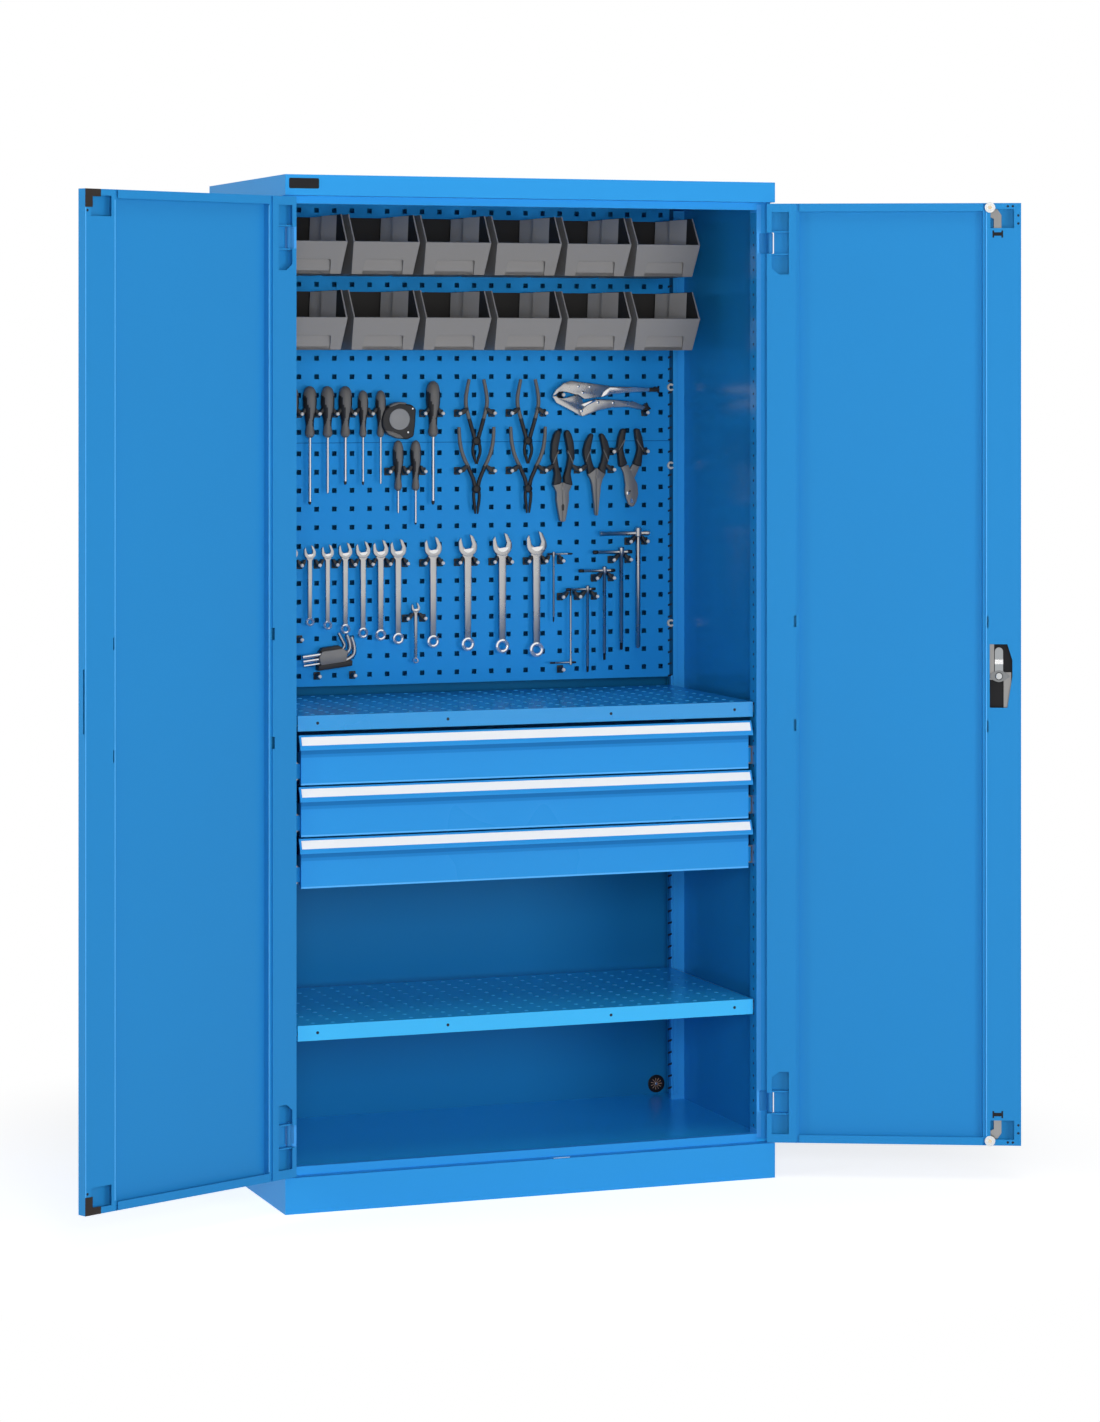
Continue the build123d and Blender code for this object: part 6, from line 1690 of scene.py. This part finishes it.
@dataclass
class FrontLights:
    """Painted highlights on the drawer fronts' bends, painted shade under their grips, painted shade in the shelf
    holes and painted highlights on the frame's edges.
    """

    thickness: float = 0.2
    bend: float = 3.6
    shades: tuple[float, float, float] = (0.0, 9.0, 15.0)
    hole_radius: float = 3.0
    hole_inset: float = 40.0
    hole_drop: float = 15.0
    hole_pair: float = 171.0
    stile_edge: float = 9.0
    stile_ends: float = 4.0
    bend_from: float = 0.6

    def strip(self, across: Flat, face: float, heights: Flat, finish: Finish) -> Piece:
        """Thin strip on a face that looks at the viewer.

        Args:
            across: its left and right ends.
            face: depth of the face it lies on.
            heights: its lower and upper edges.
            finish: its finish.

        Returns:
            The coated strip.
        """
        outline = rectangle(*across, *heights)
        return Bench.plate(outline, ORIGIN, (face - self.thickness, face), finish, 0.05, 1)

    def drawers(self) -> None:
        """Painted shade under each grip and a painted highlight on the bend at each front's foot."""
        for number, body in enumerate((Body.DRAWER_1, Body.DRAWER_2, Body.DRAWER_3), 1):
            low, high = (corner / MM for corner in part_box(f"drawer_{number}_front"))
            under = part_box(f"drawer_{number}_grip")[0].z / MM
            start, middle, end = self.shades
            strips = [
                self.strip((low.x, high.x), low.y, (under - middle, under - start), SHADE_BLUE),
                self.strip((low.x, high.x), low.y, (under - end, under - middle), HALF_SHADE_BLUE),
                self.strip((low.x, high.x), low.y, (low.z + self.bend_from, low.z + self.bend), BEND_HIGHLIGHT_BLUE),
            ]
            Bench.deliver(strips, f"drawer_{number}_front_shade_and_highlights", BEND_HIGHLIGHT_BLUE, body=body)

    def shelves(self) -> None:
        """Dark discs of painted shade for the round holes along both shelves' front lips."""
        radius, rise = self.hole_radius, self.thickness
        stations = [(0.0, radius), (rise, radius), (rise * 1.5, radius * 0.9)]
        for name in ("upper_shelf", "lower_shelf"):
            low, high = (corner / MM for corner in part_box(name))
            end, z = high.x - self.hole_inset, high.z - self.hole_drop
            places = (-end, -self.hole_pair, self.hole_pair, end)
            holes = [Bench.knob(stations, (x, low.y, z), SHADOW_BLACK) for x in places]
            Bench.deliver(holes, f"{name}_lip_holes", SHADOW_BLACK)

    def frame_edges(self) -> None:
        """Painted highlights on the edges of the frame round the opening."""
        low, high = (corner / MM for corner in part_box("front_stiles"))
        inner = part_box("top_front_rail")[1].x / MM
        outer = inner + self.stile_edge
        heights = (low.z + self.stile_ends, high.z - self.stile_ends)
        sides = ((-outer, -inner), (inner, outer))
        edges = [self.strip(across, low.y, heights, EDGE_HIGHLIGHT_BLUE) for across in sides]
        Bench.deliver(edges, "stile_edge_highlights", EDGE_HIGHLIGHT_BLUE)

    def build(self) -> None:
        """Builds the drawer strips, shelf holes and frame edges."""
        self.drawers()
        self.shelves()
        self.frame_edges()


# ---------------------------------------------------------------- door details, modelled on the shut doors
@dataclass(frozen=True)
class DoorSwing:
    """Swings a piece from its shut door to the open door."""

    side: float
    pivot: Flat = (503.5, -272.5)
    angle: float = 156.0
    inner_y: float = -257.5

    def swing(self, piece: Piece) -> Piece:
        """Turns a piece about the door's pivot.

        Args:
            piece: piece in its place on the shut door.

        Returns:
            The same piece on the open door.
        """
        x, y = self.side * self.pivot[0], self.pivot[1]
        Bench.place(piece, (-x, -y, 0.0))
        return Bench.place(piece, (x, y, 0.0), (0.0, 0.0, self.side * self.angle))

    def deliver(self, shapes: list[Piece], name: str, finish: Finish, *stands_for: str, body: Body) -> None:
        """Joins shapes made on the shut door and delivers them on the open door.

        Args:
            shapes: the finished shapes that make up the piece.
            name: name of the piece.
            finish: its finish where no shape has one.
            stands_for: CAD nodes that it is shown instead of.
            body: the body it rides on.
        """
        Bench.deliver([self.swing(Bench.join(shapes))], name, finish, *stands_for, body=body)


RIGHT = DoorSwing(1.0)
LEFT = DoorSwing(-1.0)


@dataclass
class LockCam:
    """Lens-shaped cam with its tongue and screw inside the lock's window."""

    spindle: Flat = (47.0, 1011.0)
    lens: Flat = (22.5, 11.8)
    blunt: float = 0.97
    fullness: float = 1.7
    tongue: tuple[float, float, float] = (8.3, 57.5, 1.5)  # half width, reach, thickness
    bend: Flat = (24.0, 33.0)
    back: float = -263.3
    front: float = -260.6
    steps: Flat = (0.4, 1.4)
    slot: tuple[float, float, float] = (0.7, 2.0, 35.0)  # half width and depth, height, turn in degrees
    screw: tuple[float, float, float] = (8.0, 6.2, 1.6)  # ring radius, head radius, height

    def build(self) -> None:
        """Builds the cam, its folded tongue and its screw as one piece."""
        x, z = self.spindle
        half, reach, thickness = self.tongue
        long, tall = self.lens
        shares = [step / 8 * self.blunt for step in range(-8, 9)]
        outline = [(long * share, tall * (1.0 - abs(share) ** self.fullness)) for share in shares]
        outline += [(across, -up) for across, up in reversed(outline)]
        shapes = [Bench.plate(outline, self.spindle, (self.back, self.front), CAM_GREY, 0.5)]
        start, end = (z + up for up in self.bend)
        near, far = (self.front - step for step in self.steps)
        foot = rectangle(x - half, x + half, z, start)
        shapes.append(Bench.plate(foot, ORIGIN, (near - thickness, near), CAM_LIGHT, 0.2, 1))
        # the tongue's bend gets the near-white finish as a painted highlight
        fold = [(x - half, near, start), (x + half, near, start), (x + half, far, end), (x - half, far, end)]
        shapes.append(Bench.coat(Bench.slab(fold, (0.0, -thickness, 0.0)), TOOL_HIGHLIGHT))
        tip = [(x - half, end), (x + half, end)] + arc((x, z + reach - half), half, 0.0, 180.0, 10)
        shapes.append(Bench.plate(tip, ORIGIN, (far - thickness, far), CAM_LIGHT, 0.2, 1))
        ring, radius, height = self.screw
        stations = [(0.0, ring), (0.5, ring), (0.6, ring - 0.6)]
        shapes.append(Bench.knob(stations, (x, self.front + 0.6, z), CAM_DARK, 28, INWARD))
        head = Bench.rod([(0.0, radius), (height * 0.6, radius), (height, radius - 0.8)], 28)
        wide, deep, turn = self.slot
        corners = [(*corner, height - wide) for corner in rectangle(-radius - 1.0, radius + 1.0, -wide, wide)]
        slot = Bench.place(Bench.slab(corners, (0.0, 0.0, deep)), HOME, (0.0, 0.0, turn))
        Bench.coat(Bench.cut(head, slot), CAM_HEAD)
        shapes.append(Bench.place(head, (x, self.front + 0.4, z), INWARD))
        RIGHT.deliver(shapes, "lock_cam_and_tongue", CAM_GREY, "lock_cam", body=Body.HANDLE)


@dataclass
class RodRollers:
    """White guide rollers on the rods' feet, with brass axle heads."""

    x: float = 65.0
    heights: tuple[float, float] = (1948.0, 82.0)
    radius: float = 10.4
    back: float = -269.6
    post_face: float = -257.3
    flange: float = 2.4
    sunk: float = 0.7
    head: Flat = (3.6, 1.0)

    def build(self) -> None:
        """Builds both rollers and their axle heads."""
        rim, face = self.radius, self.flange
        radius, height = self.head
        rear = [(0.0, rim - 0.5), (0.5, rim), (2.3, rim), (2.8, rim - 0.5)]
        near = [
            (0.0, rim - 0.4), (0.4, rim), (face - 0.5, rim), (face, rim - 0.7), (face, rim * 0.62),
            (face - self.sunk, rim * 0.56), (face - self.sunk, rim * 0.36),
        ]
        axle = [(0.0, radius), (height * 0.5, radius), (height, radius * 0.7)]
        for name, body, rod_body, z in (
            ("upper", Body.UPPER_ROLLER, Body.UPPER_ROD, self.heights[0]),
            ("lower", Body.LOWER_ROLLER, Body.LOWER_ROD, self.heights[1]),
        ):
            wheel = [
                Bench.knob(stations, (self.x, y, z), WHITE_PLASTIC, 32, INWARD)
                for stations, y in ((rear, self.back), (near, self.post_face))
            ]
            RIGHT.deliver(wheel, f"{name}_roller_wheel", WHITE_PLASTIC, f"{name}_rod_roller", body=body)
            head = Bench.knob(axle, (self.x, self.post_face + face - self.sunk, z), AXLE_BRASS, 20, INWARD)
            RIGHT.deliver([head], f"{name}_axle_head", AXLE_BRASS, body=rod_body)


@dataclass
class RodGuides:
    """Black H-shaped guides clipped over the rods."""

    x: float = 49.5
    heights: tuple[float, float] = (1895.0, 135.0)
    half: Flat = (10.5, 7.2)
    leg: float = 3.2
    bar: float = 3.4
    back: float = -262.5
    front: float = -256.6

    def build(self) -> None:
        """Builds both guides as one piece."""
        wide, tall = self.half
        inner = wide - self.leg
        outline = [
            (-wide, -tall), (-inner, -tall), (-inner, -self.bar), (inner, -self.bar), (inner, -tall),
            (wide, -tall), (wide, tall), (inner, tall), (inner, self.bar), (-inner, self.bar), (-inner, tall),
            (-wide, tall),
        ]
        depths = (self.back, self.front)
        guides = [Bench.plate(outline, (self.x, z), depths, BLACK_PLASTIC, 0.6) for z in self.heights]
        RIGHT.deliver(guides, "rod_guide_clips", BLACK_PLASTIC, "rod_guides", body=Body.RIGHT_DOOR)


@dataclass
class DoorBendHighlights:
    """Painted highlights as bright lines where the door's posts are bent, seen on the doors' inner sides."""

    width: float = 1.8
    thickness: float = 0.2
    ends: Flat = (92.0, 1938.0)
    right: tuple[float, ...] = (72.0,)
    left: tuple[float, ...] = (-4.4, -72.0, -442.0)

    def build(self) -> None:
        """Builds each door's highlight lines as one piece."""
        half = self.width / 2
        for swing, places, body in ((RIGHT, self.right, Body.RIGHT_DOOR), (LEFT, self.left, Body.LEFT_DOOR)):
            front, back = swing.inner_y, swing.inner_y + self.thickness
            outlines = [rectangle(x - half, x + half, *self.ends) for x in places]
            lines = [Bench.upright(outline, front, back, 0.05, 1) for outline in outlines]
            swing.deliver(lines, f"{body.value}_bends", BEND_HIGHLIGHT_BLUE, body=body)


@dataclass
class CornerHoles:
    """Small dark discs of painted shade for the holes near the free corners of both doors."""

    ends: tuple[float, float] = (1957.0, 73.0)
    right: tuple[Flat, ...] = ((29.5, 6.5), (19.6, 6.5), (8.6, 25.0), (8.6, 41.0))  # across, from the end
    left: tuple[Flat, ...] = ((-8.5, 40.0),)
    radius: float = 2.5
    proud: float = 0.3

    def build(self) -> None:
        """Builds the painted hole shade of each door as one piece."""
        radius, proud = self.radius, self.proud
        stations = [(0.0, radius), (proud * 0.6, radius), (proud, radius * 0.9)]
        for swing, places, body in ((RIGHT, self.right, Body.RIGHT_DOOR), (LEFT, self.left, Body.LEFT_DOOR)):
            holes = [
                Bench.knob(stations, (x, swing.inner_y, end + way * inset), SHADOW_BLACK, 14, INWARD)
                for end, way in zip(self.ends, (-1.0, 1.0))
                for x, inset in places
            ]
            swing.deliver(holes, f"{body.value}_corner_holes", SHADOW_BLACK, body=body)


@dataclass
class CornerGuards:
    """Black guards over the free corners of the left door."""

    corners: tuple[float, float] = (1957.0, 73.0)
    edge: float = -3.0
    across: Flat = (36.0, 14.0)
    along: Flat = (34.0, 17.0)
    thickness: float = 1.5

    def build(self) -> None:
        """Builds both L-shaped guards as one piece."""
        length, tall = self.across
        reach, wide = self.along
        front, back = LEFT.inner_y - 0.2, LEFT.inner_y + self.thickness
        outline = [(0.0, 0.0), (-length, 0.0), (-length, tall), (-wide, tall), (-wide, reach), (0.0, reach)]
        guards = []
        for corner, way in zip(self.corners, (-1.0, 1.0)):
            corners = [(self.edge + across, corner + way * up) for across, up in outline]
            guards.append(Bench.upright(corners, front, back, 1.0, 2))
        LEFT.deliver(guards, "corner_guard_caps", GUARD_BROWN, "door_corner_guards", body=Body.LEFT_DOOR)


@dataclass
class PanelClips:
    """Pale C-shaped clips that hold the perforated panels to the uprights."""

    rows: tuple[float, float] = (2.4, 11.2)
    half: float = 8.0
    wall: float = 4.0
    depth: float = 5.0

    def build(self) -> None:
        """Builds one clip and copies it to the panels' four corners on both sides."""
        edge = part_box("pegboard_clips")[1].x / MM - self.half
        y = GRID.face_y
        outline = arc(ORIGIN, self.half, 40.0, 320.0, 18)
        outline += arc(ORIGIN, self.half - self.wall, 320.0, 40.0, 12)
        clip = Bench.upright(outline, y - self.depth, y, 0.8, 2)
        clips = []
        for side, turn in ((1.0, 0.0), (-1.0, 180.0)):
            for board in (UPPER, LOWER):
                for row in self.rows:
                    copied = Bench.place(Bench.copy(clip, (0.0, -y, 0.0)), HOME, (0.0, turn, 0.0))
                    clips.append(Bench.place(copied, (side * edge, y, GRID.z(board, row))))
        Bench.remove(clip)
        Bench.deliver(clips, "panel_clips", CLIP_GREY, "pegboard_clips")


NODE_FINISHES: dict[Finish, tuple[str, ...]] = {
    CARCASS_BLUE: (
        "plinth", "roof_hood", "front_stiles", "top_front_rail", "bottom_front_rail", "rear_uprights",
    ),
    BACK_SHADED_BLUE: ("back_wall",),
    WALL_SHADED_BLUE: ("left_side_wall", "right_side_wall"),
    FLOOR_LIT_BLUE: ("floor_panel", "lower_shelf"),
    DOOR_SHADED_BLUE: tuple(
        f"{side}_{part}" for side in ("left", "right") for part in ("door_panel", "hinge_post", "lock_post")
    ),
    PANEL_BLUE: ("lower_pegboard", "upper_pegboard"),
    SHELF_BLUE: ("upper_shelf",),
    DRAWER_BLUE: tuple(f"drawer_{n}_{part}" for n in (1, 2, 3) for part in ("front", "grip")),
    TRAY_BLUE: tuple(f"drawer_{n}_tray" for n in (1, 2, 3)),
    LABEL_WHITE: tuple(f"drawer_{n}_label" for n in (1, 2, 3)),
    ZINC: (
        "shelf_brackets", "drawer_fixed_rails", "drawer_1_mid_rails", "drawer_2_mid_rails",
        "drawer_3_mid_rails", "upper_lock_rod", "lower_lock_rod", "lock_cam",
    ),
    HINGE_STEEL: ("hinge_brackets", "hinge_pins"),
    CLIP_GREY: ("pegboard_clips",),
    BLACK_PLASTIC: (
        "cable_grommet", "lock_case", "rod_guides", "door_corner_guards", "lock_handle", "tape_measure",
    ),
    WHITE_PLASTIC: ("upper_rod_roller", "lower_rod_roller"),
    HOOK_BLACK: ("tool_hooks",),
    BIN_GREY: ("storage_bins",),
    GRIP_BLACK: ("screwdriver_handles", "hex_key_set"),
    TOOL_STEEL: (
        "screwdriver_blades", "combination_spanners", "t_handle_keys", "hand_pliers", "locking_pliers",
    ),
}


def dress_frame() -> None:
    """Gives every CAD node its finish."""
    for finish, names in NODE_FINISHES.items():
        for name in names:
            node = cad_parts[name]
            node.data.materials.clear()
            node.data.materials.append(finish.material())
            BENCH_LOG.info("%s dressed as %s", name, finish.name)


# ---------------------------------------------------------------- studio
@dataclass
class Studio:
    """White surroundings, soft lamps, a floor that keeps the shadow, and the camera."""

    camera_at: Spot = (-2.641, -7.580, 1.632)
    yaw: float = 20.09
    focal_px: float = 3951.0
    frame_px: tuple[int, int] = (1100, 1422)
    principal_row: float = 365.6
    sensor: float = 36.0
    ambient: float = 0.16
    floor_size: float = 60.0
    floor_colour: Colour = (0.80, 0.80, 0.80)
    floor_lift: float = 0.70
    shadow_reach: Flat = (0.9, 1.5)

    def build(self) -> None:
        """Sets up the world, the lamps, the floor and the camera."""
        bpy.context.scene.view_settings.view_transform = "Standard"
        self.world()
        self.lamps()
        self.floor()
        self.camera()

    @staticmethod
    def seen_rays(tree: bpy.types.NodeTree) -> bpy.types.NodeSocket:
        """Adds nodes that pick out the rays which show a surface as it is.

        Args:
            tree: node tree of a material or of the world.

        Returns:
            The socket that is 1 for camera, glossy and transmission rays, otherwise 0.
        """
        path = add_node(tree, "LightPath")
        seen = path.outputs["Is Camera Ray"]
        for name in ("Is Glossy Ray", "Is Transmission Ray"):
            either = {0: seen, 1: path.outputs[name]}
            seen = add_node(tree, "Math", either, operation="MAXIMUM").outputs["Value"]
        return seen

    def world(self) -> None:
        """White surroundings for the eye and for shiny metal, with a quieter ambient light."""
        world = bpy.data.worlds.new("studio_world")
        bpy.context.scene.world = world
        world.use_nodes = True
        tree = world.node_tree
        reach = {"Value": self.seen_rays(tree), "To Min": self.ambient, "To Max": 1.0}
        strength = add_node(tree, "MapRange", reach).outputs["Result"]
        feed(tree, tree.nodes["Background"], {"Color": WHITE, "Strength": strength})

    def lamps(self) -> None:
        """Four soft area lamps: key, fill, side and top."""
        for name, spot, aim, size, power in (
            ("key_lamp", (-1.9, -7.2, 1.7), (0.0, 0.0, 0.9), 2.2, 225.0),
            ("fill_lamp", (2.8, -6.8, 0.6), (0.0, 0.0, 0.2), 2.6, 175.0),
            ("side_lamp", (-6.0, -0.9, 1.6), (-0.3, 0.0, 1.3), 2.0, 125.0),
            ("top_lamp", (0.0, -2.6, 5.2), (0.0, 0.0, 0.6), 2.4, 30.0),
        ):
            bpy.ops.object.light_add(type="AREA", location=spot)
            lamp = bpy.context.object
            lamp.name = name
            lamp.data.size = size
            lamp.data.energy = power
            lamp.visible_glossy = False
            direction = Vector(aim) - Vector(spot)
            lamp.rotation_euler = direction.to_track_quat("-Z", "Y").to_euler()

    def floor(self) -> None:
        """White floor that keeps the cabinet's shadow and fades into the surroundings."""
        bpy.ops.mesh.primitive_plane_add(size=self.floor_size, location=(0.0, 0.0, 0.0))
        floor = bpy.context.object
        floor.name = "studio_floor"
        material = bpy.data.materials.new("studio_floor")
        material.use_nodes = True
        tree = material.node_tree
        seen = self.seen_rays(tree)
        lift = add_node(tree, "Math", {0: seen, 1: self.floor_lift}, operation="MULTIPLY")
        lit = tree.nodes["Principled BSDF"]
        feed(tree, lit, {
            "Base Color": (*self.floor_colour, 1.0), "Roughness": 0.9, "Specular IOR Level": 0.0,
            "Emission Color": WHITE, "Emission Strength": lift.outputs["Value"],
        })
        plain = add_node(tree, "Emission", {"Strength": 1.0})
        place = add_node(tree, "TexCoord").outputs["Object"]
        reach = add_node(tree, "VectorMath", {0: place}, operation="LENGTH")
        near, far = self.shadow_reach
        span = {"From Min": near, "From Max": far, "Value": reach.outputs["Value"]}
        fade = add_node(tree, "MapRange", span, interpolation_type="SMOOTHSTEP")
        beyond = add_node(tree, "Math", {0: fade.outputs["Result"], 1: seen}, operation="MULTIPLY")
        blend = add_node(tree, "MixShader", {
            "Fac": beyond.outputs["Value"], 1: lit.outputs["BSDF"], 2: plain.outputs["Emission"],
        })
        feed(tree, tree.nodes["Material Output"], {"Surface": blend.outputs["Shader"]})
        floor.data.materials.append(material)

    def camera(self) -> None:
        """Camera at the working height in front of the cabinet, a little to its left."""
        bpy.ops.object.camera_add(location=self.camera_at, rotation=(pi / 2, 0.0, -radians(self.yaw)))
        camera = bpy.context.object
        camera.name = "front_camera"
        height = self.frame_px[1]
        camera.data.sensor_fit = "VERTICAL"
        camera.data.sensor_height = self.sensor
        camera.data.lens = self.focal_px / height * self.sensor
        camera.data.shift_y = -(height / 2 - self.principal_row) / height
        bpy.context.scene.camera = camera


def main() -> None:
    """Builds the classes in order and reports each piece."""
    logging.basicConfig(level=logging.INFO, format="%(message)s")
    bpy.ops.object.select_all(action="DESELECT")
    dress_frame()
    for assembly in (
        StorageBins(), ToolHooks(), Screwdrivers(), TapeMeasure(), HandPliers(), LockingPliers(), Spanners(),
        SlidingKeys(), HexKeySet(), PanelClips(), SmallHoles(), UprightFolds(), PanelGaps(), ShelfPattern(),
        BlankPlate(), CableGrommet(), FrontLights(), LockCam(), RodRollers(), RodGuides(), DoorBendHighlights(),
        CornerHoles(), CornerGuards(),
    ):
        BENCH_LOG.info("building %s", type(assembly).__name__)
        assembly.build()
    Studio().build()


if __name__ == "__main__":
    main()
